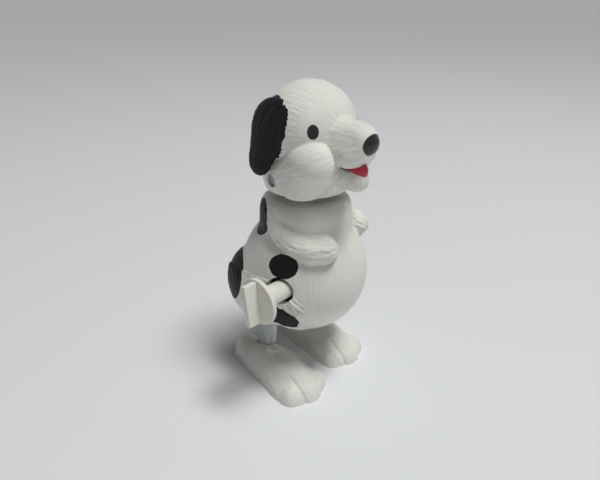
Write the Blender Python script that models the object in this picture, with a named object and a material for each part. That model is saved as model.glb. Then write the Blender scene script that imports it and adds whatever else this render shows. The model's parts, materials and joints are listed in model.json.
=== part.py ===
"""Walking wind-up puppy: moulded body and head halves around a clear clockwork gearbox.

The puppy faces -Y with +Z up, and its right side, where the key is, faces -X. Every piece hangs
under one root empty, which stands the finished toy over the world origin.
"""

import math

import bmesh
import bpy
import numpy as np
from mathutils import Vector

MM = 0.001

# Fits
CLEAR = 0.25 * MM  # gap round pins, tabs and pegs
SEAM = 0.3 * MM  # gap between the two halves of a shell
WALL = 1.3 * MM  # wall of the moulded shells
SEAM_LAP = 0.03 * MM  # how far what is joined to a half stays behind its seam face
MELT = 3.0 * MM  # how softly one rounded mass runs into the next

# Feet
FOOT_LENGTH = 35.0 * MM
FOOT_HEEL_WIDTH = 9.0 * MM
FOOT_TOE_WIDTH = 16.6 * MM
FOOT_HEIGHT = 8.8 * MM
HEEL_HEIGHT = 7.2 * MM
INSTEP_WIDTH = 13.8 * MM
INSTEP_LENGTH = 30.0 * MM
INSTEP_AHEAD = 1.5 * MM
FOOT_SPREAD = 10.4 * MM  # from the middle plane to the middle of a foot
FOOT_AHEAD = 3.3 * MM  # how far a foot's middle lies in front of its crank pin
TOE_RADIUS = 4.1 * MM
OUTER_TOE_RADIUS = 3.7 * MM
TOE_HEIGHT = 4.6 * MM
TOE_SET_BACK = 1.6 * MM  # from the middle toe's centre to the outer ones'
TOE_ROOT_BACK = 4.2 * MM  # from the middle toe's centre to that of the mass behind the toes
TOE_ROOT_LENGTH = 16.0 * MM
TOE_ROOT_HEIGHT = 5.6 * MM
FOOT_BOSS_RADIUS = 1.9 * MM
FOOT_BOSS_RISE = 0.8 * MM
FOOT_BOSS_AHEAD = 2.2 * MM  # from the leg's front to the boss's middle
FOOT_BOSS_OUT = 1.2 * MM  # from the leg's middle outwards to the boss's

# Body
BODY_BOTTOM = 17.8 * MM
BELLY_HEIGHT = 34.6 * MM
BELLY_WIDTH = 35.0 * MM
BELLY_DEPTH = 36.4 * MM
BELLY_RISE = 37.2 * MM  # height of the egg that the belly is cut from
BELLY_BACK = 2.4 * MM  # how far the belly's middle lies behind the head's axis
CHEST_BACK = 2.0 * MM
CHEST_HEIGHT = 46.0 * MM
CHEST_WIDTH = 26.4 * MM
CHEST_DEPTH = 27.0 * MM
CHEST_RISE = 24.0 * MM
CHEST_SQUARENESS = 8  # how flat the chest's top is, where 2 is a ball
NECK_LIFT = 8.0 * MM  # from the chest's top to the neck's
NECK_RADIUS = 7.0 * MM
NECK_BACK = 2.2 * MM
HAUNCH_WIDTH = 18.4 * MM
HAUNCH_LENGTH = 25.8 * MM
HAUNCH_RISE = 24.4 * MM
HAUNCH_OUT = 0.9 * MM  # how far a haunch stands out of the belly's side
HAUNCH_BACK = 6.8 * MM  # from the belly's middle
HAUNCH_DROP = 5.0 * MM
SHOULDER_RADIUS = 3.2 * MM
ARM_RADIUS = 3.2 * MM
WRIST_RADIUS = 3.4 * MM
PAW_RADIUS = 3.7 * MM
FLOOR_THICKNESS = 1.0 * MM
FRONT_BOSS_HEIGHT = 53.0 * MM  # where the pegs that locate the two halves stand
BACK_BOSS_HEIGHT = 40.0 * MM
HEAD_BOSS_LIFT = 4.0 * MM  # above the skull's middle
BOSS_RADIUS = 2.0 * MM
BOSS_SINK = 0.4 * MM  # how far a boss's round side lies in the wall
BOSS_LENGTH = 4.6 * MM
PEG_RADIUS = 1.0 * MM
PEG_LENGTH = 2.5 * MM

# Places along an arm, from the middle of the chest's left side
SHOULDER = (-3.4 * MM, 1.2 * MM, 6.4 * MM)
UPPER_ARM = (-2.0 * MM, -2.4 * MM, 3.3 * MM)
ELBOW = (-2.1 * MM, -6.9 * MM, 1.2 * MM)
WRIST = (-4.3 * MM, -10.8 * MM, -0.1 * MM)
PAW = (-7.0 * MM, -12.8 * MM, 0.2 * MM)

# Head
SKULL_LIFT = 16.5 * MM  # from the chest's top to the skull's middle
SKULL_BACK = 0.9 * MM  # how far the skull's middle lies behind the toy's upright axis
SKULL_WIDTH = 25.2 * MM
SKULL_DEPTH = 24.6 * MM
SKULL_RISE = 24.5 * MM
NOSE_WIDTH = 6.0 * MM
NOSE_DEPTH = 4.4 * MM
NOSE_RISE = 5.6 * MM
EYE_WIDTH = 3.0 * MM
EYE_RISE = 3.8 * MM
EYE_APART = 16.8 * MM
EYE_LIFT = 2.1 * MM
EYE_SINK = 1.4 * MM
EAR_TOP_RADIUS = 6.5 * MM
EAR_TIP_RADIUS = 3.9 * MM
EAR_THICKNESS = 3.6 * MM
JOWL_SIZE = (23.6 * MM, 24.4 * MM, 26.0 * MM)
CHEEK_SIZE = (12.6 * MM, 14.0 * MM, 12.4 * MM)
LIP_RADIUS = 3.6 * MM
TONGUE_SIZE = (4.2 * MM, 6.0 * MM, 4.4 * MM)
MUZZLE_ROOT_RADIUS = 6.2 * MM
MUZZLE_RADIUS = 4.2 * MM
JAW_RADIUS = 4.5 * MM
CHIN_RADIUS = 3.0 * MM

# Places on the head, from the skull's middle: those off the middle plane are the left one's
JOWL = (0.0, 0.9 * MM, -10.5 * MM)
CHEEK = (6.6 * MM, -6.7 * MM, -6.2 * MM)
MUZZLE_ROOT = (0.0, -6.3 * MM, -1.2 * MM)
MUZZLE = (0.0, -16.8 * MM, 0.0)
NOSE = (0.0, -19.3 * MM, -0.3 * MM)
LIP = (2.2 * MM, -15.4 * MM, -3.1 * MM)
TONGUE = (0.0, -16.2 * MM, -7.1 * MM)
JAW = (0.0, -6.9 * MM, -8.5 * MM)
CHIN = (0.0, -16.4 * MM, -9.9 * MM)
EAR_TOP = (10.6 * MM, 3.0 * MM, 2.2 * MM)
EAR_TIP = (12.7 * MM, 5.1 * MM, -6.9 * MM)

# Neck joint
HEAD_PIN_RADIUS = 1.3 * MM
HEAD_PIN_HOLE = 1.7 * MM
HEAD_PIN_BACK = 3.2 * MM
HEAD_PIN_LIFT = 4.6 * MM  # above the chest's top, as the rim is
HEAD_PIN_RECESS = 0.6 * MM
HEAD_RIM_LIFT = 1.3 * MM

# Key
KEY_HEIGHT = 35.2 * MM
KEY_AHEAD = 4.0 * MM
KEY_SHAFT_RADIUS = 2.7 * MM
KEY_HOLE_RADIUS = 3.75 * MM
KEY_STAND_OFF = 8.0 * MM  # from the body's side to the disc
KEY_DISC_RADIUS = 6.25 * MM
KEY_DISC_THICKNESS = 1.2 * MM
KEY_BLADE_LENGTH = 12.0 * MM
KEY_BLADE_OUT = 4.2 * MM
KEY_BLADE_THICKNESS = 1.5 * MM
KEY_BLADE_LEAN = 8.0  # degrees, with the lower end forward

# Clockwork
MODULE = 0.55 * MM
GREAT_TEETH = 27
IDLER_TEETH = 28
PINION_TEETH = 10
STAR_TEETH = 9
GEAR_THICKNESS = 1.6 * MM
TOOTH_ROOT = 0.54  # width of a tooth's root, as a share of the pitch
TOOTH_TIP = 0.22
STAR_RADIUS = 4.6 * MM
STAR_ROOT_RADIUS = 2.8 * MM
IDLER_BEARING = -9.7  # from the key's axis, in degrees from +Y towards +Z, as all bearings are
CRANK_BEARING = -71.2  # from the idler
ESCAPE_BEARING = 75.0  # from the idler
PALLET_BEARING = 100.0  # from the escape wheel
PILLAR_BEARINGS = (-95.0, 72.0, -20.0)  # two from the key's axis, one from the idler
STUD_BEARINGS = (40.0, -125.0)  # from the key's axis
PALLET_SPACING = 7.6 * MM
PALLET_SPREAD = 48.0  # degrees to each arm, seen from the escape wheel
PALLET_TIP_GAP = 1.1 * MM
PALLET_TIP_RADIUS = 0.5 * MM
SLEEVE_WALL = 0.9 * MM
ARBOR_RADIUS = 1.4 * MM
SHAFT_RADIUS = 1.0 * MM
PIN_RADIUS = 0.8 * MM
GEARBOX_INSIDE = 10.8 * MM
PLATE_THICKNESS = 1.1 * MM
PLATE_MARGIN = 2.2 * MM
PILLAR_RADIUS = 1.7 * MM
PILLAR_ROOM = 1.0 * MM  # between a wheel's teeth and a pillar
SCREW_RADIUS = 0.7 * MM
SCREW_HEAD_RADIUS = 1.5 * MM
SCREW_LENGTH = 4.5 * MM
SCREW_HEAD_RISE = 0.8 * MM
STUD_RADIUS = 1.2 * MM
STUD_LENGTH = 2.6 * MM
SOCKET_WALL = 1.1 * MM
SPRING_TURNS = 6
SPRING_STRIP = 0.4 * MM
SPRING_WIDTH = 4.2 * MM
SPRING_RADIUS = 7.4 * MM

# Cranks and legs
CRANK_THROW = 1.6 * MM
CRANK_RADIUS = 2.9 * MM
CRANK_PIN_RADIUS = 1.0 * MM
CRANK_THICKNESS = 1.4 * MM
CRANK_WEB = 0.5 * MM  # what the blind bore leaves of a crank
LEG_THICKNESS = 1.6 * MM
LEG_WIDTH = 6.0 * MM
LEG_BACK = 2.45 * MM  # how far the lower leg lies behind its crank pin
LEG_EYE_WALL = 1.8 * MM
SLOT_ROOM = 0.6 * MM  # round a leg where it leaves the body
LEG_TAB_DEPTH = 5.0 * MM  # how deep a leg stands in its foot
GUIDE_RADIUS = 0.9 * MM
GUIDE_RISE = 7.4 * MM

ROUND = 12  # sides of a small turned piece
BODY_GRID = (18, 24)  # faces round and up one half
HEAD_GRID = (18, 18)
FOOT_GRID = (16, 18)
RAY_STEPS = 160
SIDES = {"right": -1, "left": 1}
SIDEWAYS = (math.pi / 2, 0.0, math.pi / 2)  # local X, Y, Z become world Y, Z, X


def bearing(start, degrees, distance):
    """The point at a distance from start, on a bearing in the Y-Z plane."""
    angle = math.radians(degrees)
    return (start[0] + distance * math.cos(angle), start[1] + distance * math.sin(angle))


# Heights that follow from the chest
CHEST_TOP = CHEST_HEIGHT + CHEST_RISE / 2
NECK_TOP = CHEST_TOP + NECK_LIFT
SKULL_HEIGHT = CHEST_TOP + SKULL_LIFT
HEAD_PIN_HEIGHT = CHEST_TOP + HEAD_PIN_LIFT
HEAD_RIM_HEIGHT = CHEST_TOP + HEAD_RIM_LIFT
RAY_REACH = BELLY_WIDTH + BELLY_DEPTH

# Places of the turning axes, as (y, z)
PINION_PITCH = MODULE * PINION_TEETH / 2
GREAT_PITCH = MODULE * GREAT_TEETH / 2
IDLER_PITCH = MODULE * IDLER_TEETH / 2
TOOTH_UP = 0.75 * MODULE
TOOTH_DOWN = 1.1 * MODULE
KEY_AXIS = (-KEY_AHEAD, KEY_HEIGHT)
IDLER_AXIS = bearing(KEY_AXIS, IDLER_BEARING, GREAT_PITCH + PINION_PITCH)
CRANK_AXIS = bearing(IDLER_AXIS, CRANK_BEARING, IDLER_PITCH + PINION_PITCH)
ESCAPE_AXIS = bearing(IDLER_AXIS, ESCAPE_BEARING, IDLER_PITCH + PINION_PITCH)
PALLET_AXIS = bearing(ESCAPE_AXIS, PALLET_BEARING, PALLET_SPACING)
HEAD_AXIS = (HEAD_PIN_BACK, HEAD_PIN_HEIGHT)
HEAD_CORE = (0.0, SKULL_BACK + JOWL[1] / 2, SKULL_HEIGHT + JOWL[2] / 2)
PILLAR_GAP = TOOTH_UP + PILLAR_RADIUS + PILLAR_ROOM
PILLARS = (
    bearing(KEY_AXIS, PILLAR_BEARINGS[0], GREAT_PITCH + PILLAR_GAP),
    bearing(KEY_AXIS, PILLAR_BEARINGS[1], GREAT_PITCH + PILLAR_GAP),
    bearing(IDLER_AXIS, PILLAR_BEARINGS[2], IDLER_PITCH + PILLAR_GAP),
)
SOCKET_RADIUS = STUD_RADIUS + CLEAR + SOCKET_WALL
STUDS = tuple(bearing(KEY_AXIS, turn, KEY_HOLE_RADIUS + SOCKET_RADIUS + CLEAR) for turn in STUD_BEARINGS)
GUIDE = (CRANK_AXIS[0], CRANK_AXIS[1] + GUIDE_RISE)

# Layers across the gearbox, as distances from the middle plane
PLATE_IN = GEARBOX_INSIDE / 2
PLATE_OUT = PLATE_IN + PLATE_THICKNESS
CRANK_IN = PLATE_OUT + CLEAR
CRANK_OUT = CRANK_IN + CRANK_THICKNESS
LEG_IN = CRANK_OUT + CLEAR
LEG_OUT = LEG_IN + LEG_THICKNESS
GREAT_LAYER = (-PLATE_IN + CLEAR, -PLATE_IN + CLEAR + GEAR_THICKNESS)
IDLER_LAYER = (PLATE_IN - CLEAR - GEAR_THICKNESS, PLATE_IN - CLEAR)
SPRING_LAYER = (GREAT_LAYER[1] + 2 * CLEAR, GREAT_LAYER[1] + 2 * CLEAR + SPRING_WIDTH)
STAR_LAYER = (IDLER_LAYER[0] - 2 * CLEAR - GEAR_THICKNESS, IDLER_LAYER[0] - 2 * CLEAR)


# Scene and object helpers


def clear_scene():
    """Remove every object, so the script can run in any file."""
    for obj in list(bpy.data.objects):
        bpy.data.objects.remove(obj, do_unlink=True)


def new_collection(name):
    collection = bpy.data.collections.get(name) or bpy.data.collections.new(name)
    if name not in bpy.context.scene.collection.children:
        bpy.context.scene.collection.children.link(collection)
    return collection


def finish(name, colour, roughness, metallic=0.0, alpha=1.0):
    """A plain material for one sub-part."""
    material = bpy.data.materials.new(name)
    material.use_nodes = True
    shader = material.node_tree.nodes["Principled BSDF"]
    shader.inputs["Base Color"].default_value = (*colour, 1.0)
    shader.inputs["Roughness"].default_value = roughness
    shader.inputs["Metallic"].default_value = metallic
    shader.inputs["Alpha"].default_value = alpha
    return material


WHITE = ((0.86, 0.84, 0.79), 0.35)
CREAM = ((0.87, 0.79, 0.58), 0.35)
STEEL = ((0.55, 0.55, 0.56), 0.3, 1.0)
NYLON = ((0.80, 0.78, 0.70), 0.45)
CRYSTAL = ((0.80, 0.83, 0.82), 0.1, 0.0, 0.45)


def axis_empty(name, parent, place):
    empty = bpy.data.objects.new(name, None)
    empty.empty_display_size = 0.005
    bpy.context.scene.collection.objects.link(empty)
    empty.parent = parent
    empty.location = place
    return empty


def piece(name, mesh, parent, look, place=(0, 0, 0)):
    """A named sub-part under its axis, with its own material."""
    obj = bpy.data.objects.new(name, mesh)
    new_collection("windup_puppy").objects.link(obj)
    obj.parent = parent
    obj.location = place
    obj.data.materials.append(finish(name, *look))
    mesh.shade_smooth()
    mesh.set_sharp_from_angle(angle=math.radians(40))
    return obj


def helper(name, mesh, parent, place=(0, 0, 0)):
    """A hidden body that cuts or joins a sub-part."""
    obj = bpy.data.objects.new(name, mesh)
    new_collection("cutters").objects.link(obj)
    obj.parent = parent
    obj.location = place
    obj.hide_render = True
    obj.display_type = "WIRE"
    return obj


def combine(obj, tool, operation):
    modifier = obj.modifiers.new(operation.title() + " " + tool.name, "BOOLEAN")
    modifier.operation = operation
    modifier.object = tool
    modifier.solver = "MANIFOLD"  # EXACT leaves open edges on these chains of cuts


def to_mesh(bm, name):
    """A mesh of flat faces that point outwards."""
    bmesh.ops.recalc_face_normals(bm, faces=bm.faces)
    bmesh.ops.triangulate(bm, faces=[face for face in bm.faces if len(face.verts) == 4])
    mesh = bpy.data.meshes.new(name)
    bm.to_mesh(mesh)
    bm.free()
    return mesh


# Plain solids


def circle(radius, centre=(0.0, 0.0), count=ROUND, start=0.0):
    angles = [start + 2 * math.pi * i / count for i in range(count)]
    return [(centre[0] + radius * math.cos(a), centre[1] + radius * math.sin(a)) for a in angles]


def hull(points):
    """The convex outline round a set of points, anticlockwise."""
    points = sorted(set(points))

    def half(sequence):
        chain = []
        for p in sequence:
            while len(chain) > 1:
                (ax, ay), (bx, by) = chain[-2:]
                if (bx - ax) * (p[1] - ay) - (by - ay) * (p[0] - ax) > 0:
                    break
                chain.pop()
            chain.append(p)
        return chain[:-1]

    return half(points) + half(points[::-1])


def prism(outlines, low, high):
    """A mesh of flat (y, z) outlines, the later ones holes, spread along X from low to high."""
    curve = bpy.data.curves.new("outline", "CURVE")
    curve.dimensions = "2D"
    curve.fill_mode = "BOTH"
    curve.extrude = (high - low) / 2
    for outline in outlines:
        spline = curve.splines.new("POLY")
        spline.points.add(len(outline) - 1)
        for point, (y, z) in zip(spline.points, outline):
            point.co = (y, z, 0.0, 1.0)
        spline.use_cyclic_u = True
    obj = bpy.data.objects.new("outline", curve)
    bpy.context.scene.collection.objects.link(obj)
    obj.rotation_euler = SIDEWAYS
    obj.location = ((low + high) / 2, 0.0, 0.0)
    bpy.context.view_layer.update()
    mesh = bpy.data.meshes.new_from_object(obj.evaluated_get(bpy.context.evaluated_depsgraph_get()))
    mesh.transform(obj.matrix_world)
    bpy.data.objects.remove(obj)
    bpy.data.curves.remove(curve)
    bm = bmesh.new()
    bm.from_mesh(mesh)
    bpy.data.meshes.remove(mesh)
    bmesh.ops.remove_doubles(bm, verts=bm.verts, dist=1e-6)
    return to_mesh(bm, "prism")


def turned(profile, count=ROUND):
    """A mesh turned about X from (x, radius) points that run from end to end on the axis."""
    bm = bmesh.new()
    rings = []
    for x, radius in profile:
        loop = circle(radius, count=count) if radius > 0 else [(0.0, 0.0)]
        rings.append([bm.verts.new((x, y, z)) for y, z in loop])
    for first, second in zip(rings, rings[1:]):
        for i in range(count):
            corners = [first[i % len(first)], first[(i + 1) % len(first)]]
            corners += [second[(i + 1) % len(second)], second[i % len(second)]]
            bm.faces.new(list(dict.fromkeys(corners)))
    return to_mesh(bm, "turned")


def rod(low, high, radius, count=ROUND):
    """A plain cylinder along X."""
    return turned([(low, 0.0), (low, radius), (high, radius), (high, 0.0)], count)


def block(low, high):
    bm = bmesh.new()
    bmesh.ops.create_cube(bm, size=1.0)
    middle = (Vector(low) + Vector(high)) / 2
    bmesh.ops.scale(bm, vec=Vector(high) - Vector(low), verts=bm.verts)
    bmesh.ops.translate(bm, vec=middle, verts=bm.verts)
    return to_mesh(bm, "block")


# Rounded masses that melt into one form


def ball(points, centre, radii):
    """How far points lie outside an ellipsoid, nearly enough."""
    local = points - np.array(centre)
    radii = np.array(radii)
    near = np.linalg.norm(local / radii, axis=1)
    slope = np.linalg.norm(local / radii**2, axis=1)
    return near * (near - 1.0) / np.maximum(slope, 1e-9)


def drum(points, centre, radii, squareness):
    """How far points lie outside an upright round drum with a soft edge, nearly enough."""
    local = (points - np.array(centre)) / np.array(radii)
    near = local[:, 0] ** 2 + local[:, 1] ** 2 + np.abs(local[:, 2]) ** squareness
    slope = np.column_stack((2 * local[:, 0], 2 * local[:, 1], squareness * local[:, 2] ** (squareness - 1)))
    return (near - 1.0) / np.maximum(np.linalg.norm(slope / np.array(radii), axis=1), 1e-9)


def limb(points, start, end, start_radius, end_radius):
    """How far points lie outside a tapered rod with round ends."""
    start = np.array(start)
    run = np.array(end) - start
    along = np.clip((points - start) @ run / (run @ run), 0.0, 1.0)
    spine = start + along[:, None] * run
    return np.linalg.norm(points - spine, axis=1) - start_radius - along * (end_radius - start_radius)


def melted(distances, softness=MELT):
    """The union of masses, with soft creases between them."""
    total = distances[0]
    for other in distances[1:]:
        blend = np.maximum(softness - np.abs(total - other), 0.0) / softness
        total = np.minimum(total, other) - blend * blend * softness / 4
    return total


def mirrored(points):
    """Points folded to one side of the middle plane."""
    return np.column_stack((np.abs(points[:, 0]), points[:, 1], points[:, 2]))


def torso(points):
    """Pear-shaped body with haunches and arms; only the right paw is held to the chest."""
    p = mirrored(points)
    right = points * (-1.0, 1.0, 1.0)
    haunch_side = BELLY_WIDTH / 2 + HAUNCH_OUT - HAUNCH_WIDTH / 2
    haunch = (haunch_side, BELLY_BACK + HAUNCH_BACK, BELLY_HEIGHT - HAUNCH_DROP)
    side = np.array((CHEST_WIDTH / 2, CHEST_BACK, CHEST_HEIGHT))
    arm = [(side + place, radius) for place, radius in (
        (SHOULDER, SHOULDER_RADIUS), (UPPER_ARM, ARM_RADIUS), (ELBOW, ARM_RADIUS),
        (WRIST, WRIST_RADIUS), (PAW, PAW_RADIUS))]
    lengths = list(zip([p, p, right, right], arm, arm[1:]))
    chest = (CHEST_WIDTH / 2, CHEST_DEPTH / 2, CHEST_RISE / 2)
    return melted([
        ball(p, (0, BELLY_BACK, BELLY_HEIGHT), (BELLY_WIDTH / 2, BELLY_DEPTH / 2, BELLY_RISE / 2)),
        drum(p, (0, CHEST_BACK, CHEST_HEIGHT), chest, CHEST_SQUARENESS),
        limb(p, (0, NECK_BACK, CHEST_HEIGHT), (0, NECK_BACK, NECK_TOP + NECK_RADIUS),
             NECK_RADIUS, NECK_RADIUS),
        ball(p, haunch, (HAUNCH_WIDTH / 2, HAUNCH_LENGTH / 2, HAUNCH_RISE / 2)),
        np.min([limb(near, start[0], end[0], start[1], end[1]) for near, start, end in lengths], axis=0),
    ])


def on_skull(place):
    """A place on the head, in the toy's frame."""
    return (place[0], place[1] + SKULL_BACK, place[2] + SKULL_HEIGHT)


def half_of(size):
    return tuple(side / 2 for side in size)


def cranium(points):
    """Round head with jowls and cheeks."""
    p = mirrored(points)
    return melted([
        ball(p, on_skull((0, 0, 0)), (SKULL_WIDTH / 2, SKULL_DEPTH / 2, SKULL_RISE / 2)),
        ball(p, on_skull(JOWL), half_of(JOWL_SIZE)),
        ball(p, on_skull(CHEEK), half_of(CHEEK_SIZE)),
    ], MELT / 2)


def paw_print(points):
    """Long flat foot with three toes."""
    p = mirrored(points)
    heel = FOOT_LENGTH / 2 - FOOT_HEEL_WIDTH / 2
    toe = TOE_RADIUS - FOOT_LENGTH / 2
    side = FOOT_TOE_WIDTH / 2 - OUTER_TOE_RADIUS
    return melted([
        ball(p, (0, heel, 0), (FOOT_HEEL_WIDTH / 2, FOOT_HEEL_WIDTH / 2, HEEL_HEIGHT)),
        ball(p, (0, -INSTEP_AHEAD, 0), (INSTEP_WIDTH / 2, INSTEP_LENGTH / 2, FOOT_HEIGHT)),
        ball(p, (0, toe + TOE_ROOT_BACK, 0), (FOOT_TOE_WIDTH / 2, TOE_ROOT_LENGTH / 2, TOE_ROOT_HEIGHT)),
        ball(p, (0, toe, 0), (TOE_RADIUS, TOE_RADIUS, TOE_HEIGHT)),
        ball(p, (side, toe + TOE_SET_BACK, 0), (OUTER_TOE_RADIUS, OUTER_TOE_RADIUS, TOE_HEIGHT)),
    ], MELT / 2)


def cast(form, origins, directions):
    """Points where rays leave a form for good."""
    inside = np.zeros(len(origins))
    for distance in np.linspace(0.0, RAY_REACH, RAY_STEPS + 1):
        found = form(origins + directions * distance) < 0
        inside[found] = distance
    outside = inside + RAY_REACH / RAY_STEPS
    for _ in range(18):
        middle = (inside + outside) / 2
        found = form(origins + directions * middle[:, None]) < 0
        inside = np.where(found, middle, inside)
        outside = np.where(found, outside, middle)
    return origins + directions * inside[:, None]


def wall_reach(form, spot, radius, side):
    """The least distance from the middle plane to a form's side, round a rod at a (y, z) spot."""
    origins = np.array([(0.0, y, z) for y, z in circle(radius, spot)])
    directions = np.tile((float(side), 0.0, 0.0), (len(origins), 1))
    return float(np.abs(cast(form, origins, directions)[:, 0]).min())


def skin(bm, rays, form, columns, rows):
    """Add a grid whose points are thrown out along rays onto a form."""
    verts = bmesh.ops.create_grid(bm, x_segments=columns, y_segments=rows, size=1.0)["verts"]
    spots = np.array([vert.co[:2] for vert in verts])
    for vert, point in zip(verts, cast(form, *rays(spots))):
        vert.co = point
    return verts, spots


def half_shell(rays, form, columns, rows):
    """A closed half shell: outer skin, coarser inner skin and the rim between them."""
    bm = bmesh.new()
    outer, outer_spots = skin(bm, rays, form, columns, rows)
    border = [edge for edge in bm.edges if edge.is_boundary]
    inner, inner_spots = skin(bm, rays, lambda points: form(points) + WALL, columns // 2, rows // 2)
    partner = {
        vert: inner[int(np.abs(inner_spots - spot).sum(axis=1).round(6).argmin())]
        for vert, spot in zip(outer, outer_spots)
    }
    for edge in border:
        first, second = edge.verts
        bm.faces.new(list(dict.fromkeys((first, second, partner[second], partner[first]))))
    return to_mesh(bm, "half_shell")


def half_solid(rays, form, columns, rows):
    """A solid half of a form, flat at the seam."""
    bm = bmesh.new()
    skin(bm, rays, form, columns, rows)
    bmesh.ops.edgeloop_fill(bm, edges=[edge for edge in bm.edges if edge.is_boundary])
    return to_mesh(bm, "half_solid")


def halved(bm, side):
    """A mesh of what lies on one side of the seam, closed just short of it."""
    everything = [*bm.verts, *bm.edges, *bm.faces]
    seam = (side * (SEAM / 2 + SEAM_LAP), 0, 0)
    bmesh.ops.bisect_plane(bm, geom=everything, plane_co=seam, plane_no=(side, 0, 0), clear_inner=True)
    bmesh.ops.edgeloop_fill(bm, edges=[edge for edge in bm.edges if edge.is_boundary])
    return to_mesh(bm, "halved")


def rounded(centre, size):
    """An ellipsoid."""
    bm = bmesh.new()
    bmesh.ops.create_uvsphere(bm, u_segments=ROUND + 2, v_segments=ROUND - 2, radius=0.5)
    bmesh.ops.scale(bm, vec=size, verts=bm.verts)
    bmesh.ops.translate(bm, vec=centre, verts=bm.verts)
    return bm


def stretched(*balls):
    """A skin drawn tight over some balls, given as (centre, radius)."""
    bm = bmesh.new()
    for centre, radius in balls:
        sphere = bmesh.ops.create_uvsphere(bm, u_segments=ROUND + 2, v_segments=ROUND - 2, radius=radius)
        bmesh.ops.translate(bm, vec=centre, verts=sphere["verts"])
    bmesh.ops.delete(bm, geom=[*bm.edges, *bm.faces], context="EDGES_FACES")
    bmesh.ops.convex_hull(bm, input=bm.verts)
    loose = [vert for vert in bm.verts if not vert.link_faces]
    bmesh.ops.delete(bm, geom=loose, context="VERTS")
    return bm


def flap(top, tip, top_radius, tip_radius, thickness):
    """An upright flap drawn over two round ends, which leans outwards from one to the other."""
    bm = stretched(((0.0, *top[1:]), top_radius), ((0.0, *tip[1:]), tip_radius))
    lean = (tip[0] - top[0]) / (top[2] - tip[2])
    for vert in bm.verts:
        vert.co.x = top[0] + vert.co.x * thickness / (2 * top_radius) + lean * (top[2] - vert.co.z)
    return bm


def dome(spots):
    """Directions over a half sphere about +Z, from a square of spots."""
    u, v = spots[:, 0], spots[:, 1]
    x = u * np.sqrt(1 - v * v / 2)
    y = v * np.sqrt(1 - u * u / 2)
    radius = np.minimum(np.hypot(x, y), 1.0)
    lean = radius * math.pi / 2
    spread = np.sin(lean) / np.maximum(radius, 1e-9)
    rise = np.where(np.maximum(np.abs(u), np.abs(v)) > 1 - 1e-6, 0.0, np.cos(lean))
    return np.column_stack((x * spread, y * spread, rise))


def unit(vectors):
    return vectors / np.linalg.norm(vectors, axis=1)[:, None]


def torso_rays(side):
    """Level rays out of the body's axis, over one side from front to back."""

    def rays(spots):
        turn = spots[:, 0] * math.pi / 2
        height = BODY_BOTTOM + (spots[:, 1] + 1) / 2 * (NECK_TOP - BODY_BOTTOM)
        level = np.zeros(len(turn))
        origins = np.column_stack((level + side * SEAM / 2, level + NECK_BACK, height))
        return origins, np.column_stack((side * np.cos(turn), np.sin(turn), level))

    return rays


def skull_rays(side):
    """Rays out of the middle of the head, over one side."""

    def rays(spots):
        around = dome(spots)
        directions = np.column_stack((side * around[:, 2], around[:, 0], around[:, 1]))
        origin = (side * SEAM / 2, HEAD_CORE[1], HEAD_CORE[2])
        return np.tile(origin, (len(spots), 1)), unit(directions)

    return rays


def foot_rays(spots):
    """Rays up and out of the middle of the sole."""
    directions = dome(spots) * np.array([FOOT_TOE_WIDTH / 2, FOOT_LENGTH / 2, FOOT_HEIGHT])
    return np.zeros((len(spots), 3)), unit(directions)


# Body and head


def locating_boss(shell, parent, origin, side, form, spot):
    """A boss on the inside of a shell: it ends in a peg on the right and in a hole on the left."""
    root = SEAM / 2 + CLEAR
    place = (-origin[0], spot[0] - origin[1], spot[1] - origin[2])
    end = min(root + BOSS_LENGTH, wall_reach(form, spot, BOSS_RADIUS, side) - WALL / 2)
    low, high = sorted((side * root, side * end))
    combine(shell, helper(shell.name + "_boss", rod(low, high, BOSS_RADIUS), parent, place), "UNION")
    if side < 0:
        peg = rod(-2 * root, PEG_LENGTH, PEG_RADIUS)
        combine(shell, helper(shell.name + "_peg", peg, parent, place), "UNION")
    else:
        hole = rod(-root, PEG_LENGTH + CLEAR, PEG_RADIUS + CLEAR)
        combine(shell, helper(shell.name + "_peg_hole", hole, parent, place), "DIFFERENCE")


def edge_spot(form, height, side_of_body):
    """Where a boss sits just inside the front (-1) or back (1) of a form, as (y, z)."""
    edge = cast(form, np.array([(0.0, NECK_BACK, height)]), np.array([(0.0, side_of_body, 0.0)]))[0]
    return (edge[1] - side_of_body * (WALL + BOSS_RADIUS - BOSS_SINK), height)


def gearbox_socket(shell, parent, side, spot):
    """A tube from a shell's side to the gearbox, which takes one of its studs."""
    far = wall_reach(torso, spot, SOCKET_RADIUS, side) - WALL / 2
    low, high = sorted((side * (PLATE_OUT + CLEAR), side * far))
    tube = rod(low, high, SOCKET_RADIUS)
    combine(shell, helper(shell.name + "_socket", tube, parent, (0, *spot)), "UNION")
    low, high = sorted((side * PLATE_OUT, side * (PLATE_OUT + STUD_LENGTH + CLEAR)))
    hole = rod(low, high, STUD_RADIUS + CLEAR)
    combine(shell, helper(shell.name + "_socket_hole", hole, parent, (0, *spot)), "DIFFERENCE")


def leg_slot(side):
    """Room for a leg to circle where it leaves the body."""
    reach = CRANK_THROW + SLOT_ROOM
    low = (LEG_IN - SLOT_ROOM, CRANK_AXIS[0] - LEG_WIDTH / 2 - reach, BODY_BOTTOM - SLOT_ROOM)
    high = (LEG_OUT + SLOT_ROOM, CRANK_AXIS[0] + LEG_WIDTH / 2 + LEG_BACK + reach, CRANK_AXIS[1])
    return block((side * low[0], *low[1:]), (side * high[0], *high[1:]))


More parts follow.
